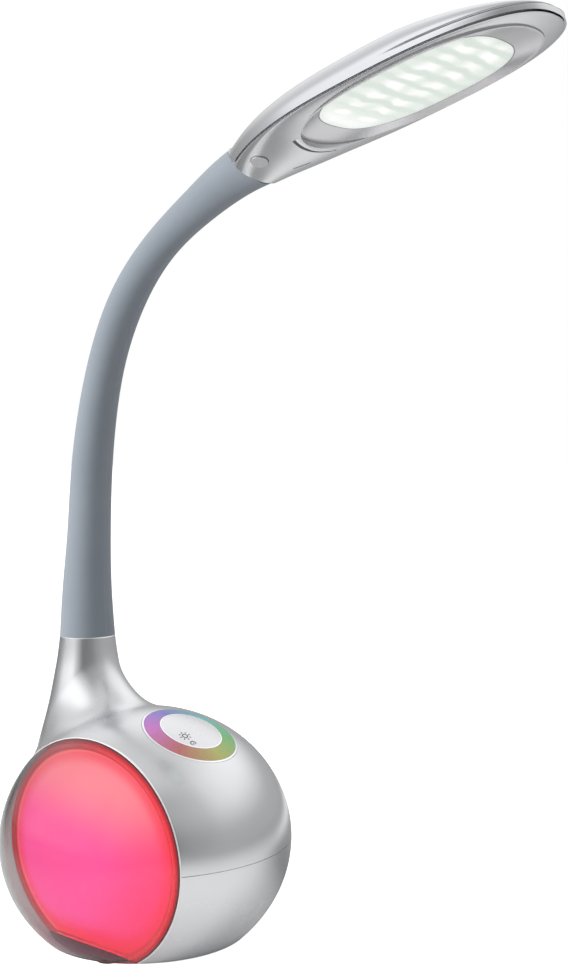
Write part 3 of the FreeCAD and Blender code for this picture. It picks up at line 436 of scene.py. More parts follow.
def lens_white():
    """Frosted light panel with two rows of soft bright spots from the LEDs behind it."""
    s, shader = piece_material("lens_white")
    place = turned_place(s, head_axes()[0], -bpy.context.scene.lamp_angles.head_tilt)
    wander = s.fill(s.add("ShaderNodeTexNoise"), Vector=place, Scale=90.0, Detail=1.0)
    shifted = s.vector("SUBTRACT", place, (0.003, 0.003, 0.0))[0]
    drifted = s.vector("MULTIPLY_ADD", wander.outputs["Color"], (0.006, 0.006, 0.0), shifted)[0]
    along, across, _ = s.axes(drifted)
    step = s.over(s.minus(along, (LENS_AT - LED_PITCH / 2) * MM), LED_PITCH * MM)
    row = s.maths("COSINE", s.times(step, 2 * math.pi))
    beside = s.maths("ABSOLUTE", s.minus(s.maths("ABSOLUTE", across), LED_ROW * MM))
    near = s.span(beside, 1.0 * MM, 9.0 * MM, 1.0, 0.30)
    spots = s.times(s.span(row, -0.9, 0.7), near)
    spots = s.times(spots, s.span(s.noise(place, 70.0, 1.0), 0.3, 0.7, 0.7, 1.0))
    spots = s.maths("MAXIMUM", spots, s.span(along, 70.0 * MM, 48.0 * MM, 0.0, 0.8))
    tint = s.mix(spots, (0.66, 0.73, 0.67), (1.0, 1.0, 0.98))
    along, across, _ = s.axes(place)
    long_share = s.maths("ABSOLUTE", s.over(s.minus(along, LENS_AT * MM), LENS_LONG * MM))
    wide_share = s.maths("ABSOLUTE", s.over(across, LENS_WIDE * MM))
    reach = s.plus(s.maths("POWER", long_share, LENS_POWER), s.maths("POWER", wide_share, LENS_POWER))
    tint = s.mix(s.span(reach, 0.72, 0.95, 0.0, 0.45), tint, (0.62, 0.67, 0.63))
    tint = s.mix(s.span(reach, 0.965, 0.99), tint, (0.16, 0.17, 0.16))
    s.fill(shader, Base_Color=s.mix(0.9, tint, (0.0, 0.0, 0.0)), Emission_Color=tint,
           Emission_Strength=0.92, Roughness=s.span(s.noise(place, 600.0), 0.3, 0.7, 0.25, 0.35))


def circuit(name, tint):
    """Board lacquer over a faint pattern of copper tracks."""
    s, shader = piece_material(name)
    bricks = s.add("ShaderNodeTexBrick", offset=0.5, squash=1.0)
    s.fill(bricks, Vector=s.place(), Scale=260.0, Mortar_Size=0.02, Color1=(*tint, 1.0),
           Color2=(tint[0] * 1.3, tint[1] * 1.2, tint[2] * 1.2, 1.0),
           Mortar=(tint[0] * 2.0, tint[1] * 1.6, tint[2] * 1.5, 1.0))
    s.fill(shader, Base_Color=bricks.outputs["Color"],
           Roughness=s.span(s.noise(s.place(), 120.0), 0.3, 0.7, 0.3, 0.42))


def build_materials():
    """All finishes, each named as the slot or piece that wears it."""
    c = bpy.context.scene.lamp_colours
    silver("shell_silver", c.shell, 0.24, flakes=0.015)
    silver("head_silver", c.head, 0.22, flakes=0.02, coat=0.3)
    silver("underside_silver", c.underside, 0.24, flakes=0.02)
    silver("bezel_silver", c.bezel, 0.30, flakes=0.02)
    silver("bead_silver", (0.86, 0.86, 0.88), 0.3, flakes=0.02, metallic=0.35)
    silver("trim_silver", c.trim, 0.14, flakes=0.02)
    silver("touch_silver", (0.80, 0.80, 0.83), 0.24, flakes=0.04, metallic=0.6)
    silver("button_white", (0.66, 0.67, 0.69), 0.3, metallic=0.5)
    silver("steel", (0.56, 0.57, 0.58), 0.3)
    silver("aluminium_plate", (0.78, 0.79, 0.80), 0.4)
    moulded("sleeve_grey", c.sleeve, 0.56, scale=2200.0, depth=0.16, mottle=0.05, sheen=0.12)
    moulded("foot_rubber", (0.02, 0.02, 0.022), 0.75, depth=0.3)
    moulded("white_plastic", (0.78, 0.78, 0.77), 0.42)
    moulded("black_plastic", (0.02, 0.02, 0.022), 0.42)
    moulded("tray_grey", (0.035, 0.12, 0.125), 0.6, depth=0.05)
    moulded("components", (0.045, 0.045, 0.05), 0.5, depth=0.2)
    moulded("led_chips", (0.86, 0.74, 0.30), 0.3, depth=0.05)
    moulded("wire_jacket", (0.55, 0.05, 0.05), 0.5)
    moulded("iron", (0.10, 0.10, 0.105), 0.72, scale=700.0, depth=0.5, metallic=0.8)
    circuit("circuit_board", (0.02, 0.16, 0.07))
    clear_plastic()
    mood_glow(c)
    mood_seal()
    touch_colours()
    lens_white()


# ---------------------------------------------------------------- mesh helpers
class Surface:
    """Points in millimetres with their normals and the faces between them."""

    def __init__(self):
        self.points, self.normals, self.faces = [], [], []

    def add(self, points, normals):
        """Adds points, each with its normal or all with one, and gives their numbers."""
        first, points = len(self.points), np.asarray(points, float)
        self.points.extend(points)
        self.normals.extend(np.broadcast_to(np.asarray(normals, float), points.shape))
        return list(range(first, len(self.points)))

    def grid(self, points, normals, close=False):
        """Faces over rows of points; close joins each row's end to its start."""
        rows, columns = points.shape[:2]
        normals = np.broadcast_to(normals, points.shape).reshape(-1, 3)
        ids = np.array(self.add(points.reshape(-1, 3), normals)).reshape(rows, columns)
        last = columns if close else columns - 1
        for i in range(rows - 1):
            for j in range(last):
                k = (j + 1) % columns
                self.faces.append((ids[i, j], ids[i + 1, j], ids[i + 1, k], ids[i, k]))

    def clip(self, field):
        """Keeps the side where the field is positive. Returns the new edge as pairs of points."""
        values = field(np.array(self.points))
        cut, edges, kept = {}, [], []

        def crossing(i, j):
            key = (min(i, j), max(i, j))
            if key not in cut:
                t = values[key[0]] / (values[key[0]] - values[key[1]])
                a, b = key
                normal = self.normals[a] * (1 - t) + self.normals[b] * t
                cut[key] = self.add([self.points[a] * (1 - t) + self.points[b] * t],
                                    [normal / max(np.linalg.norm(normal), 1e-9)])[0]
            return cut[key]

        for face in self.faces:
            inside = [values[i] >= 0 for i in face]
            if all(inside):
                kept.append(face)
            if all(inside) or not any(inside):
                continue
            loop, ends = [], []
            for i, j, here, next_one in zip(face, (*face[1:], face[0]), inside, inside[1:] + inside[:1]):
                if here:
                    loop.append(i)
                if here != next_one:
                    loop.append(crossing(i, j))
                    ends.append((loop[-1], here))
            if len(loop) > 2:
                kept.append(tuple(loop))
            if len(ends) == 2:
                first, second = ends if ends[0][1] else ends[::-1]
                edges.append((second[0], first[0]))
        self.faces = kept
        return edges

    def rim(self, edges):
        """Numbers, places and normals of the points along an edge."""
        ids = sorted({i for edge in edges for i in edge})
        return ids, np.array([self.points[i] for i in ids]), np.array([self.normals[i] for i in ids])

    def strip(self, edges, ids, near, near_normals, far, far_normals):
        """One strip of faces between two rings of points that follow an edge."""
        where = {i: k for k, i in enumerate(ids)}
        near, far = self.add(near, near_normals), self.add(far, far_normals)
        for i, j in edges:
            a, b = where[i], where[j]
            self.faces.append((near[a], near[b], far[b], far[a]))

    def band(self, edges, rings):
        """Strips from an edge through rings of points, each with its normals, sharp between rings."""
        ids, before, _ = self.rim(edges)
        for points, normals in rings:
            self.strip(edges, ids, before, normals, points, normals)
            before = points

    def outward(self, face):
        """The face's corners in the order that makes it face the way of their normals."""
        spots = np.array([self.points[i] for i in face])
        facing = np.cross(spots, np.roll(spots, -1, 0)).sum(0)
        lean = sum(self.normals[i] for i in face)
        return face if facing @ lean >= 0 else tuple(reversed(face))

    def item(self, name, slot, finish=None):
        """The surface as a mesh object in a slot, with the slot's finish or one of its own."""
        self.faces = [self.outward(face) for face in self.faces]
        used = sorted({i for face in self.faces for i in face})
        renumber = {i: k for k, i in enumerate(used)}
        mesh = bpy.data.meshes.new(name)
        mesh.from_pydata([tuple(self.points[i] * MM) for i in used], [],
                         [[renumber[i] for i in face] for face in self.faces])
        mesh.polygons.foreach_set("use_smooth", [True] * len(mesh.polygons))
        mesh.materials.append(bpy.data.materials[finish or slot])
        mesh.update()
        normals = np.array([self.normals[i] for i in used])
        mesh.normals_split_custom_set_from_vertices(normals.tolist())
        item = bpy.data.objects.new(name, mesh)
        bpy.context.scene.collection.objects.link(item)
        return item


def unit(vectors):
    size = np.linalg.norm(vectors, axis=-1, keepdims=True)
    return vectors / np.maximum(size, 1e-9)


def smooth_table(table, at):
    """Natural cubic curve through a table, and its slope, at many places."""
    x, y = np.array(table, float).T
    order = np.argsort(x)
    x, y = x[order], y[order]
    h, slope = np.diff(x), np.diff(y) / np.diff(x)
    n = len(x)
    system, right = np.eye(n), np.zeros(n)
    for i in range(1, n - 1):
        system[i, i - 1:i + 2] = h[i - 1], 2 * (h[i - 1] + h[i]), h[i]
        right[i] = 6 * (slope[i] - slope[i - 1])
    bend = np.linalg.solve(system, right)
    k = np.clip(np.searchsorted(x, at) - 1, 0, n - 2)
    a, b = x[k + 1] - at, at - x[k]
    value = (bend[k] * a ** 3 + bend[k + 1] * b ** 3) / (6 * h[k]) \
        + (y[k] / h[k] - bend[k] * h[k] / 6) * a + (y[k + 1] / h[k] - bend[k + 1] * h[k] / 6) * b
    rate = (-bend[k] * a ** 2 + bend[k + 1] * b ** 2) / (2 * h[k]) \
        - (y[k] / h[k] - bend[k] * h[k] / 6) + (y[k + 1] / h[k] - bend[k + 1] * h[k] / 6)
    return value, rate


def ease(share):
    share = np.clip(share, 0.0, 1.0)
    return share * share * (3 - 2 * share)


# ---------------------------------------------------------------- globe and horn
def around_axis(x, y, out, up):
    """Normals that lean out from an upright axis and up, at places round it."""
    safe = np.maximum(np.hypot(x, y), 1e-9)
    return np.stack([out * x / safe, out * y / safe, up], -1)


def globe_near(points, offset=0.0):
    """Distance to the globe's skin and the normal there."""
    a, c = mm("globe_radius") - offset, mm("globe_half_height") - offset
    r = np.hypot(points[..., 0], points[..., 1])
    z = points[..., 2] - mm("globe_centre")
    angle = np.arctan2(z / c, r / a)
    for _ in range(5):
        cos, sin = np.cos(angle), np.sin(angle)
        slope = -a * sin * (r - a * cos) + c * cos * (z - c * sin)
        bend = -a * cos * (r - a * cos) - a * a * sin * sin \
            - c * sin * (z - c * sin) - c * c * cos * cos
        angle = angle - slope / bend
    cos, sin = np.cos(angle), np.sin(angle)
    out, up = cos / a, sin / c
    size = np.hypot(out, up)
    out, up = out / size, up / size
    normal = around_axis(points[..., 0], points[..., 1], out, up)
    return (r - a * cos) * out + (z - c * sin) * up, normal


def horn_near(points):
    """Distance to the horn's skin and the normal there."""
    x = points[..., 0] + mm("horn_axis")
    y = points[..., 1]
    r = np.hypot(x, y)
    level = points[..., 2] - mm("globe_centre") - mm("globe_half_height")
    at = level
    for _ in range(5):
        radius, rate = smooth_table(HORN, at)
        at = level + (r - radius) * rate
    radius, rate = smooth_table(HORN, at)
    size = np.sqrt(1 + rate ** 2)
    out, up = 1 / size, -rate / size
    return (r - radius) * out + (level - at) * up, around_axis(x, y, out, up)


def skin_near(points):
    """Globe and horn joined by a rolling ball: signed distance and normal."""
    ball = mm("horn_blend")
    a, na = globe_near(points)
    b, nb = horn_near(points)
    c = np.sum(na * nb, -1)
    width = np.maximum(1 - c ** 2, 1e-6)
    u = ((ball - a) - c * (ball - b)) / width
    v = ((ball - b) - c * (ball - a)) / width
    reach = np.sqrt(np.maximum((a - ball) ** 2 + (b - ball) ** 2 - 2 * c * (a - ball) * (b - ball), 0)
                    / width)
    filled = (u > 0) & (v > 0) & (c < 0.995)
    plain = np.where((a < b)[..., None], na, nb)
    rolled = unit(u[..., None] * na + v[..., None] * nb)
    return np.where(filled, ball - reach, np.minimum(a, b)), np.where(filled[..., None], rolled, plain)


def skin_normals(points, step=0.05):
    """Outward normals of the joined skin, from how its distance changes."""
    return unit(np.stack([skin_near(points + step * axis)[0] - skin_near(points - step * axis)[0]
                          for axis in np.eye(3)], -1))


def skin_rows(turns, count):
    """Lines down the skin from the horn's top to the parting line, one for each direction."""
    angle = np.linspace(0, 2 * math.pi, turns, endpoint=False)
    ahead = np.stack([np.cos(angle), np.sin(angle), np.zeros(turns)], -1)
    place = np.stack([np.full(turns, HORN[0][1]), np.full(turns, horn_top())], -1)
    axis = np.array([-mm("horn_axis"), 0.0, 0.0])

    def skin(flat):
        """Distance to the skin, and its normal in the upright plane of each line."""
        value, normal = skin_near(axis + ahead * flat[:, :1] + UP * flat[:, 1:])
        return value, np.stack([np.sum(normal * ahead, -1), normal[:, 2]], -1)

    path, step, low = [place], 0.6, mm("parting")
    while np.any(place[:, 1] > low) and len(path) < 900:
        flat = unit(skin(place)[1])
        place = place + step * np.stack([flat[:, 1], -flat[:, 0]], -1)
        for _ in range(2):
            value, flat = skin(place)
            size = np.maximum(np.sum(flat ** 2, -1, keepdims=True), 0.05)
            place = place - value[:, None] * flat / size
        path.append(place)
    path = np.array(path)
    rows = []
    for k in range(turns):
        line = path[:, k]
        end = np.argmax(line[:, 1] <= low)
        share = (line[end - 1, 1] - low) / (line[end - 1, 1] - line[end, 1])
        stop = line[end - 1] * (1 - share) + line[end] * share
        line = np.vstack([line[:end], stop])
        run = np.concatenate([[0], np.cumsum(np.linalg.norm(np.diff(line, axis=0), axis=1))])
        at = np.linspace(0, run[-1], count)
        rows.append(np.stack([np.interp(at, run, line[:, 0]), np.interp(at, run, line[:, 1])], -1))
    flat = np.array(rows)
    return axis + ahead[:, None, :] * flat[..., :1] + UP * flat[..., 1:]


def pad_place():
    """Centre of the touch pad on the globe's skin, and its outward axis."""
    tilt = bpy.context.scene.lamp_angles.pad_tilt
    a, c = mm("globe_radius"), mm("globe_half_height")
    angle = math.atan(math.tan(tilt) * a / c)
    centre = np.array([a * math.sin(angle), 0.0, mm("globe_centre") + c * math.cos(angle)])
    return centre, np.array([math.sin(tilt), 0.0, math.cos(tilt)])


def window_outline(offset):
    """Half width and half height of the globe's section at the window plane, shrunk by an offset."""
    a, c = mm("globe_radius") - offset, mm("globe_half_height") - offset
    share = math.sqrt(1 - (mm("window") / a) ** 2)
    return a * share, c * share


def off_axis(points, centre, axis):
    """Offsets of points from the nearest spots on an axis."""
    offset = points - centre
    return offset - np.outer(offset @ axis, axis)


def shell_edges(surface, edges, face, reach, depth):
    """A rounded edge and the wall's end face, along an edge whose end faces one main direction."""
    ids, base, skin = surface.rim(edges)
    inner = -unit(np.where(face != 0, 0.0, skin))
    edge = mm("edge")
    before, facing = base, skin
    for turn in np.linspace(0, math.pi / 2, 5)[1:]:
        ring = base + face * reach * edge * math.sin(turn) + inner * edge * (1 - math.cos(turn))
        ahead = unit(skin * math.cos(turn) + face * math.sin(turn))
        surface.strip(edges, ids, before, facing, ring, ahead)
        before, facing = ring, ahead
    surface.strip(edges, ids, before, face, before + inner * depth, face)


def upper_shell():
    """Upper shell with the horn, cut open at the window, the pad, the lower shell and the neck."""
    surface = Surface()
    rows = skin_rows(288, 170)
    normals = skin_normals(rows)
    surface.grid(np.concatenate([rows, rows[:1]]), np.concatenate([normals, normals[:1]]))
    front = -mm("window") + mm("edge")
    shell_edges(surface, surface.clip(lambda p: p[:, 1] - front), FORWARD, 1.0, mm("wall"))
    centre, axis = pad_place()
    gap = mm("pad_radius") + SHELL_GAP
    cut = surface.clip(lambda p: np.linalg.norm(off_axis(p, centre, axis), axis=1) - gap)
    _, base, skin = surface.rim(cut)
    out = unit(off_axis(base, centre, axis))
    first = base - out * SHELL_GAP - axis * SHELL_GAP
    surface.band(cut, [(first, unit(skin - out)), (first - axis * 1.6, -out)])
    cut = surface.clip(lambda p: p[:, 2] - (mm("parting") + SHELL_GAP))
    shell_edges(surface, cut, DOWN, 0.3, mm("wall"))
    cut = surface.clip(lambda p: (horn_top() - 0.3) - p[:, 2])
    shell_edges(surface, cut, UP, 0.75, 4.4)
    return surface.item("globe_shell", "shell_silver")


# ---------------------------------------------------------------- window
def dome_rows(offset, low, rows=70, columns=120):
    """Skin of the dome from the window plane out, as level arcs, with normals."""
    a, c, centre = mm("globe_radius") - offset, mm("globe_half_height") - offset, mm("globe_centre")
    window = mm("window")
    top = math.asin(math.sqrt(1 - (window / a) ** 2))
    bottom = math.asin((low - centre) / c)
    share = np.linspace(0, 1, rows)
    level = bottom + (top - bottom) * (1 - (1 - share) ** 1.6)
    level[-1] = top - 1e-5
    radius = a * np.cos(level)
    half = np.arccos(np.clip(window / radius, -1, 1))
    across = np.linspace(-1, 1, columns)
    turn = half[:, None] * across[None, :]
    points = np.stack([radius[:, None] * np.sin(turn), -radius[:, None] * np.cos(turn),
                       np.repeat((centre + c * np.sin(level))[:, None], columns, 1)], -1)
    _, normals = globe_near(points, offset)
    return points, normals


def clear_dome():
    """Clear dome over the window: two skins and the flat foot of each."""
    surface = Surface()
    outer, outward = dome_rows(0.0, mm("flat_bottom"))
    inner, inward = dome_rows(mm("dome_wall"), mm("flat_bottom") + 1.4)
    for skin in (outer, inner):
        skin[..., 1] -= DOME_GAP * np.clip(2 + skin[..., 1] / mm("window"), 0, 1)
    surface.grid(outer, outward)
    surface.grid(inner[:, ::-1], -inward[:, ::-1])
    for row, way in ((outer[0], DOWN), (inner[0, ::-1], UP)):
        chord = row.copy()
        chord[:, 1] = -mm("window") - DOME_GAP
        surface.grid(np.stack([row, chord]), way)
    return surface.item("window_dome", "clear_plastic")


def panel_row(a, c, y, low, columns=160):
    """Closed oval outline at one depth, flattened below a level."""
    turn = np.linspace(0, 2 * math.pi, columns, endpoint=False)
    points = np.stack([a * np.cos(turn), np.full(columns, y),
                       mm("globe_centre") + c * np.sin(turn)], -1)
    points[:, 2] = np.maximum(points[:, 2], low)
    return points


def mood_panel():
    """Glowing panel: an upstanding bevelled rim round a softly crowned face."""
    surface = Surface()
    low = mm("flat_bottom") + 1.7
    window = mm("window")
    rim_a, rim_c = window_outline(2.8)
    face_a, face_c = window_outline(5.2)
    rim = panel_row(rim_a, rim_c, -window - 0.9, low)
    outer_face = panel_row(face_a, face_c, -window + 0.6, low + PANEL_RISE)
    fall = unit(outer_face - rim)
    along = unit(np.roll(rim, -1, 0) - rim)
    slope = unit(np.cross(along, fall))
    slope = slope * np.sign(-slope[:, 1:2])
    surface.grid(np.stack([rim, outer_face]), slope, close=True)
    behind = rim.copy()
    behind[:, 1] = -window - 0.06
    out = unit((rim - [0, 0, mm("globe_centre")]) * [1, 0, 1])
    surface.grid(np.stack([behind, rim]), out, close=True)
    rings = []
    for share in np.linspace(1, 0, 26):
        ring = panel_row(face_a * share, face_c * share, 0.0, low + PANEL_RISE)
        ring[:, 1] = -window + 0.6 - PANEL_BULGE * (1 - share ** 2)
        rings.append(ring)
    rings = np.array(rings)
    tilt = np.stack([rings[..., 0] / face_a ** 2 * 1.2, np.full(rings.shape[:2], -1.0),
                     (rings[..., 2] - mm("globe_centre")) / face_c ** 2 * 1.2], -1)
    surface.grid(rings, unit(tilt), close=True)
    return surface.item("mood_panel", "mood_glow")


def window_tray():
    """Grey floor of the mood window, in front of the glowing panel."""
    surface = Surface()
    level = mm("flat_bottom") + 1.52
    a, c = mm("globe_radius") - mm("dome_wall"), mm("globe_half_height") - mm("dome_wall")
    radius = a * math.sqrt(1 - ((level - mm("globe_centre")) / c) ** 2) - 0.25
    half = math.acos((mm("window") + 0.2) / radius)
    turn = np.linspace(-half, half, 60)
    front = np.stack([radius * np.sin(turn), -radius * np.cos(turn), np.full(60, level)], -1)
    back = front.copy()
    back[:, 1] = -mm("window") - 0.2
    out = unit(front * [1, 1, 0])
    lifted = front + [0, 0, 0.5] - out * 0.4
    surface.grid(np.stack([front, lifted]), out)
    surface.grid(np.stack([lifted, back + [0, 0, 0.5]]), UP)
    surface.grid(np.stack([back, front]), DOWN)
    return surface.item("window_tray", "black_plastic", "tray_grey")


def window_seal():
    """Seal behind the clear dome's edge: a thin lip over the shell's rim and a wall behind it."""
    surface = Surface()
    window, low = mm("window"), mm("flat_bottom") + 0.3
    rows = []
    for offset in (0.65, 1.3, 2.2, 3.2, 4.5):
        a, c = window_outline(offset)
        rows.append(panel_row(a, c, -window - 0.02, low + offset * 0.6))
    rows = np.array(rows)
    surface.grid(rows, FORWARD, close=True)
    back = rows[-1] + [0.0, 4.0, 0.0]
    inward = unit(([0.0, 0.0, mm("globe_centre")] - back) * [1, 0, 1])
    surface.grid(np.stack([rows[-1], back]), inward, close=True)
    return surface.item("window_seal", "mood_glow", "mood_seal")


def window_bead():
    """Bright metal line round the window, between the clear dome and the shells."""
    surface = Surface()
    rows, normals = [], []
    a, c = window_outline(0.1)
    middle = panel_row(a, c, -mm("window"), mm("flat_bottom") + 0.35, 260)
    out = unit(middle - [0.0, 0.0, mm("globe_centre")])
    out[:, 1] = 0.0
    flat = middle[:, 2] <= mm("flat_bottom") + 0.36
    out[flat] = DOWN
    out = unit(out)
    for turn in np.linspace(-0.75 * math.pi, 0.75 * math.pi, 15):
        way = out * math.cos(turn) + FORWARD * math.sin(turn)
        rows.append(middle + way * 0.32)
        normals.append(way)
    surface.grid(np.array(rows), np.array(normals), close=True)
    return surface.item("window_bead", "trim_silver", "bead_silver")


# ---------------------------------------------------------------- touch pad marks
def pad_mark(surface, shapes):
    """Thin printed shapes on the pad's disc, given as flat outlines round the pad's centre."""
    centre, axis = pad_place()
    ahead = np.array([axis[2], 0.0, -axis[0]])
    disc = frame["nodes"]["touch_disc"]
    into = disc.matrix_world.inverted()
    for outline in shapes:
        marks = []
        for x, y in outline:
            above = centre + x * ahead + y * SIDEWAYS + 8.0 * axis
            hit, spot, _, _ = disc.ray_cast(into @ Vector(above * MM), into.to_3x3() @ Vector(-axis))
            if not hit:
                raise RuntimeError("a pad mark lies off the disc")
            marks.append(np.array(disc.matrix_world @ spot) / MM + PRINT_LIFT * axis)
        surface.faces.append(tuple(surface.add(marks, axis)))


def bar_outline(at, angle, start, end, width):
    """Outline of a straight bar that points away from a spot."""
    along = np.array([math.cos(angle), math.sin(angle)])
    side = np.array([-along[1], along[0]]) * width / 2
    return np.array([at + along * start - side, at + along * end - side, at + along * end + side,
                     at + along * start + side])


def ring_outlines(at, radius, width, start=0.0, sweep=2 * math.pi, pieces=20):
    """Outlines of the short pieces that make up a ring, or an open part of one."""
    def spot(reach, turn):
        return at + reach * np.array([math.cos(turn), math.sin(turn)])

    low, high = radius - width / 2, radius + width / 2
    turns = np.linspace(start, start + sweep, pieces + 1)
    return [np.array([spot(low, a), spot(high, a), spot(high, b), spot(low, b)])
            for a, b in zip(turns, turns[1:])]


def pad_marks():
    """A small sun, a small open ring with a bar, and the disc's thin printed rim."""
    signs, rim = Surface(), Surface()
    sun, ring = np.array([3.6, -7.6]), np.array([9.0, -7.4])
    pad_mark(signs, [
        *ring_outlines(sun, 1.15, PRINT_WIDTH),
        *[bar_outline(sun, math.pi / 4 * k, 1.9, 2.75, 0.55) for k in range(8)],
        *ring_outlines(ring, 1.2, PRINT_WIDTH, 0.9, 4.6),
        bar_outline(ring, 0.0, -0.1, 0.9, PRINT_WIDTH)])
    pad_mark(rim, ring_outlines(np.zeros(2), mm("pad_disc") - PAD_RIM_INSET, PRINT_WIDTH, pieces=96))
    return signs.item("pad_marks", "black_plastic"), rim.item("pad_rim", "trim_silver")


# ---------------------------------------------------------------- neck
def neck_line():
    """Smooth centre line of the neck: distances at its bends, and calls for place, way and radius."""
    bends = np.array(NECK)
    spots = bends[:, :2] + [-mm("horn_axis"), horn_top()]
    tilt = bpy.context.scene.lamp_angles.head_tilt
    spots = np.vstack([spots, spots[-1] + SLEEVE_END_RUN * np.array([math.cos(tilt), math.sin(tilt)])])
    radii = [*bends[:, 2], SLEEVE_END_RADIUS]
    run = np.concatenate([[0], np.cumsum(np.linalg.norm(np.diff(spots, axis=0), axis=1))])

    def at(distance):
        (x, dx), (z, dz), (radius, rate) = [smooth_table(list(zip(run, values)), distance)
                                            for values in (*spots.T, radii)]
        return np.stack([x, z], -1), unit(np.stack([dx, dz], -1)), radius, rate

    return run, at


def upright(x, z):
    """Places or directions in the lamp's middle plane."""
    return np.stack([x, np.zeros(len(x)), z], -1)


def sleeve_rings(at, low, high, sides):
    """Rings of the sleeve between two distances, with a fine mould ridge front and back."""
    distance = np.linspace(low, high, max(int((high - low) / 1.3), 4) + 1)
    spot, way, radius, rate = at(distance)
    turn = np.sort(np.concatenate([np.linspace(0, 2 * math.pi, sides, endpoint=False),
                                   [0.045, 0.09, math.pi - 0.09, math.pi - 0.045, math.pi + 0.045,
                                    math.pi + 0.09, 2 * math.pi - 0.09, 2 * math.pi - 0.045]]))
    ridge = RIDGE_HEIGHT * np.exp(-(np.sin(turn) * radius.mean() / RIDGE_WIDTH) ** 2)
    side = upright(way[:, 1], -way[:, 0])[:, None, :]
    cos, sin = np.cos(turn)[None, :, None], np.sin(turn)[None, :, None]
    out = cos * side + sin * SIDEWAYS
    middle, ahead = upright(*spot.T), upright(*way.T)
    points = middle[:, None, :] + out * (radius[:, None] + ridge[None, :])[..., None]
    lean = np.gradient(ridge, turn) / radius.mean()
    across = -sin * side + cos * SIDEWAYS
    return points, unit(out - rate[:, None, None] * ahead[:, None, :] - lean[None, :, None] * across)


def head_axes():
    """The head's neck joint, its long axis and its upward axis."""
    tilt = bpy.context.scene.lamp_angles.head_tilt
    start = np.array([-mm("horn_axis") + NECK[-1][0], 0.0, horn_top() + NECK[-1][1]])
    return start, np.array([math.cos(tilt), 0.0, math.sin(tilt)]), \
        np.array([-math.sin(tilt), 0.0, math.cos(tilt)])


def in_head(stations, across, up):
    """Places in the lamp from stations along the head, distances across it and levels."""
    start, along, rise = head_axes()
    return start + stations[..., None] * along + across[..., None] * SIDEWAYS + up[..., None] * rise


def flat_parts(points):
    """Stations, distances across and levels of points in the head's own axes."""
    start, along, rise = head_axes()
    offset = points - start
    return offset @ along, offset[..., 1], offset @ rise


def past_joint(points):
    """How far points lie ahead of the slanted joint, in millimetres."""
    at, _, up = flat_parts(points)
    return (at - JOINT_AT + JOINT_SLOPE * up) / math.hypot(1, JOINT_SLOPE)


def joint_face():
    """Direction that the sleeve's slanted end faces."""
    _, along, rise = head_axes()
    return unit(along + JOINT_SLOPE * rise)


def sleeve_pieces():
    """The sleeve in one piece for each bend."""
    run, at = neck_line()
    bodies = BODY_CHAIN
    last = len(bodies) - 2
    for k in range(last + 1):
        low = 0.25 if k == 0 else (run[k] + run[k + 1]) / 2
        high = run[-1] if k == last else (run[k + 1] + run[k + 2]) / 2
        surface = Surface()
        points, normals = sleeve_rings(at, low, high, bpy.context.scene.lamp_angles.sides)
        if k == 0:
            radius = np.linalg.norm(points[0] - points[0].mean(0), axis=1, keepdims=True)
            lip = points[0] + (points[0].mean(0) - points[0]) / radius * 0.45
            lip[:, 2] -= 0.15
            points = np.concatenate([lip[None], points])
            normals = np.concatenate([unit(normals[:1] + [0, 0, -1.2]), normals])
        surface.grid(points, normals, close=True)
        if k == last:
            cut = surface.clip(lambda p: -SLEEVE_GAP - past_joint(p))
            _, base, _ = surface.rim(cut)
            surface.band(cut, [(base + unit(base.mean(0) - base) * 1.2, joint_face())])
        item = surface.item("soft_sleeve_%d" % (k + 1), "sleeve_grey")
        item.visible_glossy = False
        start_spot, _, _, _ = at(np.array([max(run[k + 1] - BLEND_REACH, low)]))
        end_spot, _, _, _ = at(np.array([min(run[k + 1] + BLEND_REACH, high)]))
        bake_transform(item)
        nodes = ["sleeve_%d" % k if k else "sleeve_root"]
        if k == last:
            nodes.append("sleeve_end")
        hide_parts(*nodes)


# ---------------------------------------------------------------- head
def half_width(s):
    """Half of the head's width at stations along it."""
    whole, end = mm("head_length"), mm("neck_end_half_width")
    widest = whole - WIDEST_FROM_TIP
    nose = np.clip((s - widest) / (whole - widest), 0, 1)
    flank = np.clip((widest - s) / widest, 0, 1.06)
    full = mm("head_half_width")
    return np.where(s > widest, full * (1 - nose ** 2.5) ** 0.4, full - (full - end) * flank ** 2.6)


def crown(s):
    """Height of the cover over its rim, with the change of curve at the peak spread out."""
    spread = 9.0 * np.clip((mm("head_length") - 12.0 - s) / 24.0, 0, 1)
    return sum(crown_line(s + spread * share) for share in np.linspace(-1, 1, 9)) / 9


def crown_line(s):
    """Height of the cover over its rim, with a sharp change of curve at the peak."""
    whole, peak, top = mm("head_length"), mm("head_length") - PEAK_FROM_TIP, mm("top_height")
    nose = np.clip((s - peak) / (whole - peak), 0, 1)
    back = np.clip((peak - s) / peak, 0, 1.0)
    return np.where(s > peak, top * (1 - nose ** 1.35) ** (1 / 1.35), top - 7.0 * back ** 3.2)


def head_stations(count=110):
    """Stations along the head, closer together towards the tip."""
    whole, widest = mm("head_length"), mm("head_length") - WIDEST_FROM_TIP
    rear = np.linspace(HEAD_REAR, widest, count // 2, endpoint=False)
    turn = np.linspace(0, math.pi / 2, count)
    return np.concatenate([rear, widest + (whole - widest - 0.03) * np.sin(turn) ** 0.8])


def neck_round(s):
    """Share of the round neck section in the head's section."""
    return 1 - ease((s + 6.0) / 9.0)


def head_normals(points):
    """Outward normals of a grid from its own rows and columns."""
    down = np.gradient(points, axis=0)
    across = np.gradient(points, axis=1)
    normals = unit(np.cross(across, down))
    start, along, _ = head_axes()
    middle = start + (points - start) @ along[:, None] * along
    wrong = np.sum(normals * (points - middle), -1) < 0
    normals[wrong] *= -1
    return normals


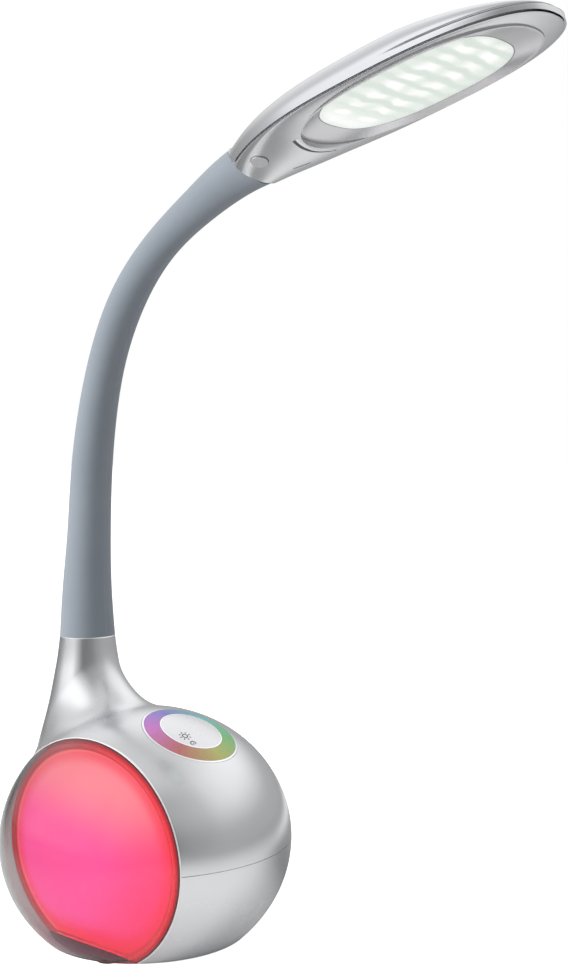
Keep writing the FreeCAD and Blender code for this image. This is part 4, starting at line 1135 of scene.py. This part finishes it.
def section(share, ring, angle, y, h):
    """A line along the head, between its own section and a round one at the neck."""
    return (y * (1 - share) + ring * math.cos(angle) * share,
            h * (1 - share) + ring * math.sin(angle) * share)


def head_cover():
    """Glossy cover: an upright band with a fine groove, the crown over it and turned-in edges."""
    surface = Surface()
    s = head_stations()
    w, top, share = half_width(s), crown(s), neck_round(s)
    seam, band = mm("seam"), mm("rim_band")
    groove = 0.7 * ease((s - 88.0) / 30.0)
    steps = [(0.0, 0.0), (0.35, 0.0), (0.75, 0.0), (0.86, 0.4), (0.94, 1.0), (1.0, 0.0)]
    columns = [section(share, COVER_RING, math.asin(seam / COVER_RING) * (1 - part),
                       w - groove * dip, seam + band * part) for part, dip in steps]
    columns += [section(share, COVER_RING, angle, w * math.cos(angle),
                        seam + band + top * math.sin(angle))
                for angle in np.linspace(0, math.pi, 61)[1:-1]]
    columns += [(-y, h) for y, h in columns[:len(steps)][::-1]]
    y, h = (np.stack(lines, 1) for lines in zip(*columns))
    points = in_head(s[:, None], y, h)
    surface.grid(points, head_normals(points))
    _, along, rise = head_axes()
    surface.faces.append(tuple(surface.add(points[-1], along)))
    for column, side in ((0, 1), (-1, -1)):
        edge = points[:, column]
        inner = edge - side * SIDEWAYS * np.minimum(1.7, np.abs(y[:, column]) * 0.9)[:, None]
        surface.grid(np.stack([edge, inner] if side > 0 else [inner, edge]), -rise)
    joint_wall(surface, surface.clip(lambda p: past_joint(p) - SHELL_GAP))
    return surface.item("head_cover", "head_silver")


def joint_wall(surface, cut):
    """Fine chamfer and end face of the wall at the slanted joint."""
    start, along, _ = head_axes()
    _, base, skin = surface.rim(cut)
    inward = unit(start + along * JOINT_AT - base)
    first = base + inward * 0.25
    face = -joint_face()
    surface.band(cut, [(first, unit(skin + face)), (first + inward * 1.4, face)])


def oval_reach(s, y, at, a, b, power):
    """Below 1 inside a soft-cornered oval in the head's plane, above 1 outside."""
    return (np.abs((s - at) / a) ** power + np.abs(y / b) ** power) ** (1 / power)


def underside_form(s):
    """Half width and depth of the underside at stations along the head."""
    smooth, _ = smooth_table(DEPTHS, s)
    depth = np.interp(s, *np.array(DEPTHS).T) * 0.5 + smooth * 0.5
    return np.maximum(half_width(s) - UNDERSIDE_INSET, 0.02), depth


def underside():
    """Skin of the underside with its ledges, open at the bezel, the button and the sleeve."""
    surface = Surface()
    s = head_stations(120)
    (w, depth), share = underside_form(s), neck_round(s)
    level = mm("seam") - UNDERSIDE_DROP
    start_angle = math.asin(level / UNDERSIDE_RING)
    columns = [section(share, UNDERSIDE_RING, start_angle * (1 - 2 * angle / math.pi) - angle,
                       w * math.cos(angle), level - (depth - UNDERSIDE_DROP) * math.sin(angle))
               for angle in np.linspace(0, math.pi, 101)]
    y, h = (np.stack(lines, 1) for lines in zip(*columns))
    at = s - 0.45 * ease((s - 120.0) / 31.5)
    points = in_head(at[:, None], y, h)
    surface.grid(points, head_normals(points))
    rise = head_axes()[2]
    for column, side in ((0, 1), (-1, -1)):
        edge = points[:, column]
        ledge = edge - np.outer(np.minimum(1.2, np.abs(edge[:, 1]) * 0.8) * side, SIDEWAYS)
        surface.grid(np.stack([ledge, edge]), rise)
        surface.grid(np.stack([ledge + rise * 1.5, ledge]), [0.0, side, 0.0])

    def bezel_field(p):
        along, across, _ = flat_parts(p)
        return (oval_reach(along, across, BEZEL_AT, BEZEL_LONG, BEZEL_WIDE, BEZEL_POWER) - 1.0) * 27.0

    wall_up(surface, surface.clip(bezel_field), 2.2)
    place, inward = button_place()
    cut = surface.clip(lambda p: np.linalg.norm(off_axis(p, place, inward), axis=1) - BUTTON_HOLE)
    _, base, _ = surface.rim(cut)
    surface.band(cut, [(base + inward * 1.6, unit(place - base))])
    joint_wall(surface, surface.clip(lambda p: past_joint(p) - SHELL_GAP))
    return surface.item("head_underside_skin", "underside_silver")


def underside_level(s, y):
    """Level of the head's underside at stations and distances from its middle line."""
    w, depth = underside_form(s)
    bow = np.sqrt(np.clip(1 - (y / w) ** 2, 0, 1))
    return mm("seam") - UNDERSIDE_DROP - (depth - UNDERSIDE_DROP) * bow


def underside_strip(name, slot, line, widths, proud):
    """Narrow strip laid on the underside along a line of (station, across) points."""
    surface = Surface()
    run = unit(np.gradient(line, axis=0))
    side = np.stack([-run[:, 1], run[:, 0]], 1)
    rows = []
    for share in (-0.5, 0.0, 0.5):
        flat = line + side * (widths * share)[:, None]
        rows.append(in_head(flat[:, 0], flat[:, 1], underside_level(flat[:, 0], flat[:, 1]) - proud))
    surface.grid(np.array(rows), -head_axes()[2])
    return surface.item(name, slot)


def bezel_crescents():
    """Black strips of painted shade for the slot beside the bezel's neck end and for the short vent slit,
    and the bright lip inside the slot.
    """
    y = np.linspace(-12.6, 14.0, 60)
    share = (y - y[0]) / (y[-1] - y[0])
    bow = np.where(y < 1.0, 0.0165, 0.0205) * (y - 1.0) ** 2
    # Painted shade: a black strip where the slot's shade falls, on an uncut underside.
    slot = underside_strip("bezel_slot_painted_shade", "black_plastic", np.stack([33.2 + bow, y], 1),
                           2.1 - 1.8 * share ** 0.7, 0.04)
    lip = underside_strip("bezel_lip", "trim_silver", np.stack([34.6 + bow * 0.9 - 0.3 * share, y], 1),
                          1.3 * (1 - share) ** 0.4 + 0.1, 0.05)
    across = np.linspace(4.6, 9.2, 12)
    # Painted shade: a black strip where the vent slit's shade falls.
    slit = underside_strip("vent_slit_painted_shade", "black_plastic",
                           np.stack([13.6 + 1.45 * across - 0.012 * across ** 2, across], 1),
                           np.full(12, 0.5), 0.04)
    return slot, lip, slit


def wall_up(surface, cut, depth):
    """Small rounded lip and upright wall into the head along a cut edge."""
    _, along, rise = head_axes()
    _, base, skin = surface.rim(cut)
    at, across, _ = flat_parts(base)
    inward = unit(np.outer(BEZEL_AT - at, along) * 0.35 + np.outer(-across, SIDEWAYS))
    first = base + inward * 0.02 + rise * 0.15
    surface.band(cut, [(first, unit(skin + inward)), (first + rise * depth, inward)])


def button_place():
    """Centre of the power button on the underside, and the way it is pressed."""
    s, y = BUTTON_AT, BUTTON_ACROSS
    w = float(half_width(np.array([s]))[0]) - UNDERSIDE_INSET
    d = float(np.interp(s, *np.array(DEPTHS).T))
    rise_share = math.sqrt(1 - (y / w) ** 2)
    start, along, rise = head_axes()
    centre = start + s * along + y * SIDEWAYS + (mm("seam") - d * rise_share) * rise
    return centre, unit(-y / w ** 2 * SIDEWAYS + rise_share / d * rise)


# ---------------------------------------------------------------- operators
class LAMP_OT_stage(Operator):
    """Add the floor, the studio light and the camera"""
    bl_idname = "lamp.stage"
    bl_label = "Stage"

    def execute(self, context):
        bpy.ops.mesh.primitive_plane_add(size=40.0, location=(0, 0, 0))
        floor = context.active_object
        floor.name = "floor"
        floor_paint()
        floor.data.materials.append(bpy.data.materials["floor_paint"])
        context.scene.world = studio_world()
        left_light()
        context.scene.camera = place_camera()
        context.scene.view_settings.view_transform = "Standard"
        return {"FINISHED"}


def floor_paint():
    """Floor that looks plain white to the camera, with painted shade and light that the lamp's silver
    picks up from it.
    """
    s, shader = piece_material("floor_paint")
    place = s.place()
    east, north, _ = s.axes(place)
    # Painted shade and light, seen only in reflections and bounced light: grey farther off, darker in a
    # band to the front left, a painted shadow patch just behind the lamp and a painted bright patch
    # farther behind.
    far = s.span(s.vector("LENGTH", place)["Value"], 0.10, 0.80)
    painted_light_left = s.plus(s.times(east, -0.50), s.times(north, -0.87))
    near = s.span(s.vector("DISTANCE", place, (-0.01, 0.19, 0.0))["Value"], 0.09, 0.19)
    behind = s.span(s.vector("DISTANCE", place, (-0.06, 0.42, 0.0))["Value"], 0.12, 0.30)
    tint = s.mix(far, (0.94,) * 3, (0.42,) * 3)
    tint = s.mix(behind, (0.97,) * 3, tint)
    tint = s.mix(s.span(painted_light_left, 0.05, 0.30), tint, (0.26,) * 3)
    s.fill(shader, Base_Color=s.mix(near, (0.34,) * 3, tint), Roughness=0.9,
           Specular_IOR_Level=0.1, Emission_Color=(1.0, 1.0, 1.0, 1.0),
           Emission_Strength=s.add("ShaderNodeLightPath").outputs["Is Camera Ray"])


def wall_belt(s, sweep, levels, scale=2.0):
    """Brightness round the lamp from a table of levels, none above the scale."""
    ramp = s.add("ShaderNodeValToRGB")
    bar = ramp.color_ramp
    bar.interpolation = "EASE"
    for at, level in levels:
        stop = bar.elements[0] if at == 0.0 else bar.elements[-1] if at == 1.0 else bar.elements.new(at)
        stop.color = (level / scale,) * 3 + (1.0,)
    s.join(sweep, ramp.inputs[0])
    return s.times(s.feed(s.add("ShaderNodeSeparateColor"), ramp.outputs["Color"])[0], scale)


def studio_world():
    """Room with walls of changing brightness, white where the camera looks straight at it."""
    world = bpy.data.worlds.new("studio")
    world.use_nodes = True
    s = Shading(world.node_tree)
    place = s.add("ShaderNodeTexCoord").outputs["Generated"]
    turn = s.add("ShaderNodeMapping", vector_type="POINT")
    s.fill(turn, Vector=place, Rotation=(0.0, 0.0, math.radians(50.1)))
    sweep = s.add("ShaderNodeTexGradient", gradient_type="RADIAL")
    s.join(turn.outputs[0], sweep.inputs[0])
    low = wall_belt(s, sweep.outputs["Fac"], LOW_WALLS)
    high = wall_belt(s, sweep.outputs["Fac"], HIGH_WALLS)
    up = s.axes(place)[2]
    low = s.span(up, -0.02, 0.16, s.maths("MINIMUM", low, 0.5), low)
    level = s.span(up, 0.15, 0.62, low, high)
    level = s.span(up, 0.76, 0.97, level, 0.80)
    seen = s.add("ShaderNodeLightPath").outputs["Is Camera Ray"]
    s.fill(s.nodes["Background"], Strength=s.span(seen, 0.0, 1.0, level, 1.0, smooth=False),
           Color=(1.0, 1.0, 1.0, 1.0))
    return world


def left_light():
    """Large soft light at the front left, seen only by what it lights."""
    data = bpy.data.lights.new("left_light", "AREA")
    data.shape, data.size, data.size_y = "RECTANGLE", 0.8, 0.7
    data.energy, data.color = 34.0, (1.0, 0.99, 0.97)
    item = bpy.data.objects.new("left_light", data)
    bpy.context.scene.collection.objects.link(item)
    place, aim = Vector((-0.95, -1.45, 0.42)), Vector((0.0, 0.0, 0.22))
    turn = (aim - place).to_track_quat("-Z", "Y").to_matrix().to_4x4()
    item.matrix_world = Matrix.Translation(place) @ turn
    item.visible_camera = item.visible_glossy = item.visible_transmission = False


def place_camera():
    """Camera in front of the lamp. Its focal length and middle are in pixels of the render."""
    data = bpy.data.cameras.new("camera")
    item = bpy.data.objects.new("camera", data)
    bpy.context.scene.collection.objects.link(item)
    yaw, pitch, roll = 2.2680, -0.0193, -0.0057
    forward = Vector((math.cos(pitch) * math.cos(yaw), math.cos(pitch) * math.sin(yaw), math.sin(pitch)))
    level = forward.cross(Vector((0, 0, 1))).normalized()
    up = level.cross(forward)
    right = level * math.cos(roll) + up * math.sin(roll)
    rise = up * math.cos(roll) - level * math.sin(roll)
    rotation = Matrix((right, rise, -forward)).transposed()
    item.matrix_world = Matrix.Translation((0.4657, -0.4529, 0.2170)) @ rotation.to_4x4()
    wide, high, focal = 568.0, 966.0, 1426.9
    data.sensor_width = 36.0
    data.lens = focal * 36.0 / high
    data.shift_x = -(290.06 - wide / 2) / high
    data.shift_y = -(high / 2 - 481.05) / high
    data.clip_start, data.clip_end = 0.01, 100.0
    return item


class LAMP_OT_finishes(Operator):
    """Make the finishes and give each part of the frame its own"""
    bl_idname = "lamp.finishes"
    bl_label = "Finishes"

    def execute(self, context):
        build_materials()
        for name, node in frame["nodes"].items():
            node.data.materials.clear()
            node.data.materials.append(bpy.data.materials[SLOTS[name]])
        return {"FINISHED"}


class LAMP_OT_shell(Operator):
    """Build the globe's upper shell with the horn blended into it"""
    bl_idname = "lamp.shell"
    bl_label = "Globe shell"

    def execute(self, context):
        item = upper_shell()
        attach(item, "base")
        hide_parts("body_upper_shell")
        return {"FINISHED"}


class LAMP_OT_window(Operator):
    """Build the mood window: the clear dome and the glowing panel behind it"""
    bl_idname = "lamp.window"
    bl_label = "Mood window"

    def execute(self, context):
        dome, panel, seal = clear_dome(), mood_panel(), window_seal()
        for item in (dome, panel, seal, window_tray(), window_bead()):
            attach(item, "base")
        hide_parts("window_rim")
        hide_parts("clear_dome")
        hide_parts("mood_diffuser")
        return {"FINISHED"}


class LAMP_OT_pad_marks(Operator):
    """Print the two small signs on the touch pad"""
    bl_idname = "lamp.pad_marks"
    bl_label = "Touch pad marks"

    def execute(self, context):
        for item in pad_marks():
            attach(item, "base")
        return {"FINISHED"}


class LAMP_OT_sleeve(Operator):
    """Build the neck's soft sleeve, one piece at each bend"""
    bl_idname = "lamp.sleeve"
    bl_label = "Neck sleeve"

    def execute(self, context):
        sleeve_pieces()
        return {"FINISHED"}


class LAMP_OT_head(Operator):
    """Build the head's cover and underside"""
    bl_idname = "lamp.head"
    bl_label = "Light head"

    def execute(self, context):
        cover, lower = head_cover(), underside()
        for item in (cover, lower, *bezel_crescents()):
            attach(item, "head")
        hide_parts("head_top_shell")
        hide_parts("head_underside")
        return {"FINISHED"}


STEPS = (LAMP_OT_stage, LAMP_OT_finishes, LAMP_OT_shell, LAMP_OT_window, LAMP_OT_pad_marks,
         LAMP_OT_sleeve, LAMP_OT_head)


class LAMP_PT_panel(Panel):
    """The lamp's pieces and sizes"""
    bl_idname = "LAMP_PT_panel"
    bl_label = "Lamp"
    bl_space_type = "VIEW_3D"
    bl_region_type = "UI"
    bl_category = "Lamp"

    def draw(self, context):
        for step in STEPS:
            self.layout.operator(step.bl_idname)
        for group_name, _ in GROUPS:
            values = getattr(context.scene, group_name)
            for key in values.__annotations__:
                self.layout.prop(values, key)


GROUPS = (("lamp_sizes", LampSizes), ("lamp_angles", LampAngles), ("lamp_colours", LampColours))


def register():
    for _, kind in GROUPS:
        bpy.utils.register_class(kind)
    for item in (*STEPS, LAMP_PT_panel):
        bpy.utils.register_class(item)
    for name, kind in GROUPS:
        setattr(bpy.types.Scene, name, PointerProperty(type=kind))


def unregister():
    for name, _ in GROUPS:
        delattr(bpy.types.Scene, name)
    for item in reversed((*[kind for _, kind in GROUPS], *STEPS, LAMP_PT_panel)):
        bpy.utils.unregister_class(item)


def main():
    register()
    bpy.ops.lamp.finishes()
    bpy.ops.lamp.shell()
    bpy.ops.lamp.window()
    bpy.ops.lamp.pad_marks()
    bpy.ops.lamp.sleeve()
    bpy.ops.lamp.head()
    bpy.ops.lamp.stage()


if __name__ == "__main__":
    main()
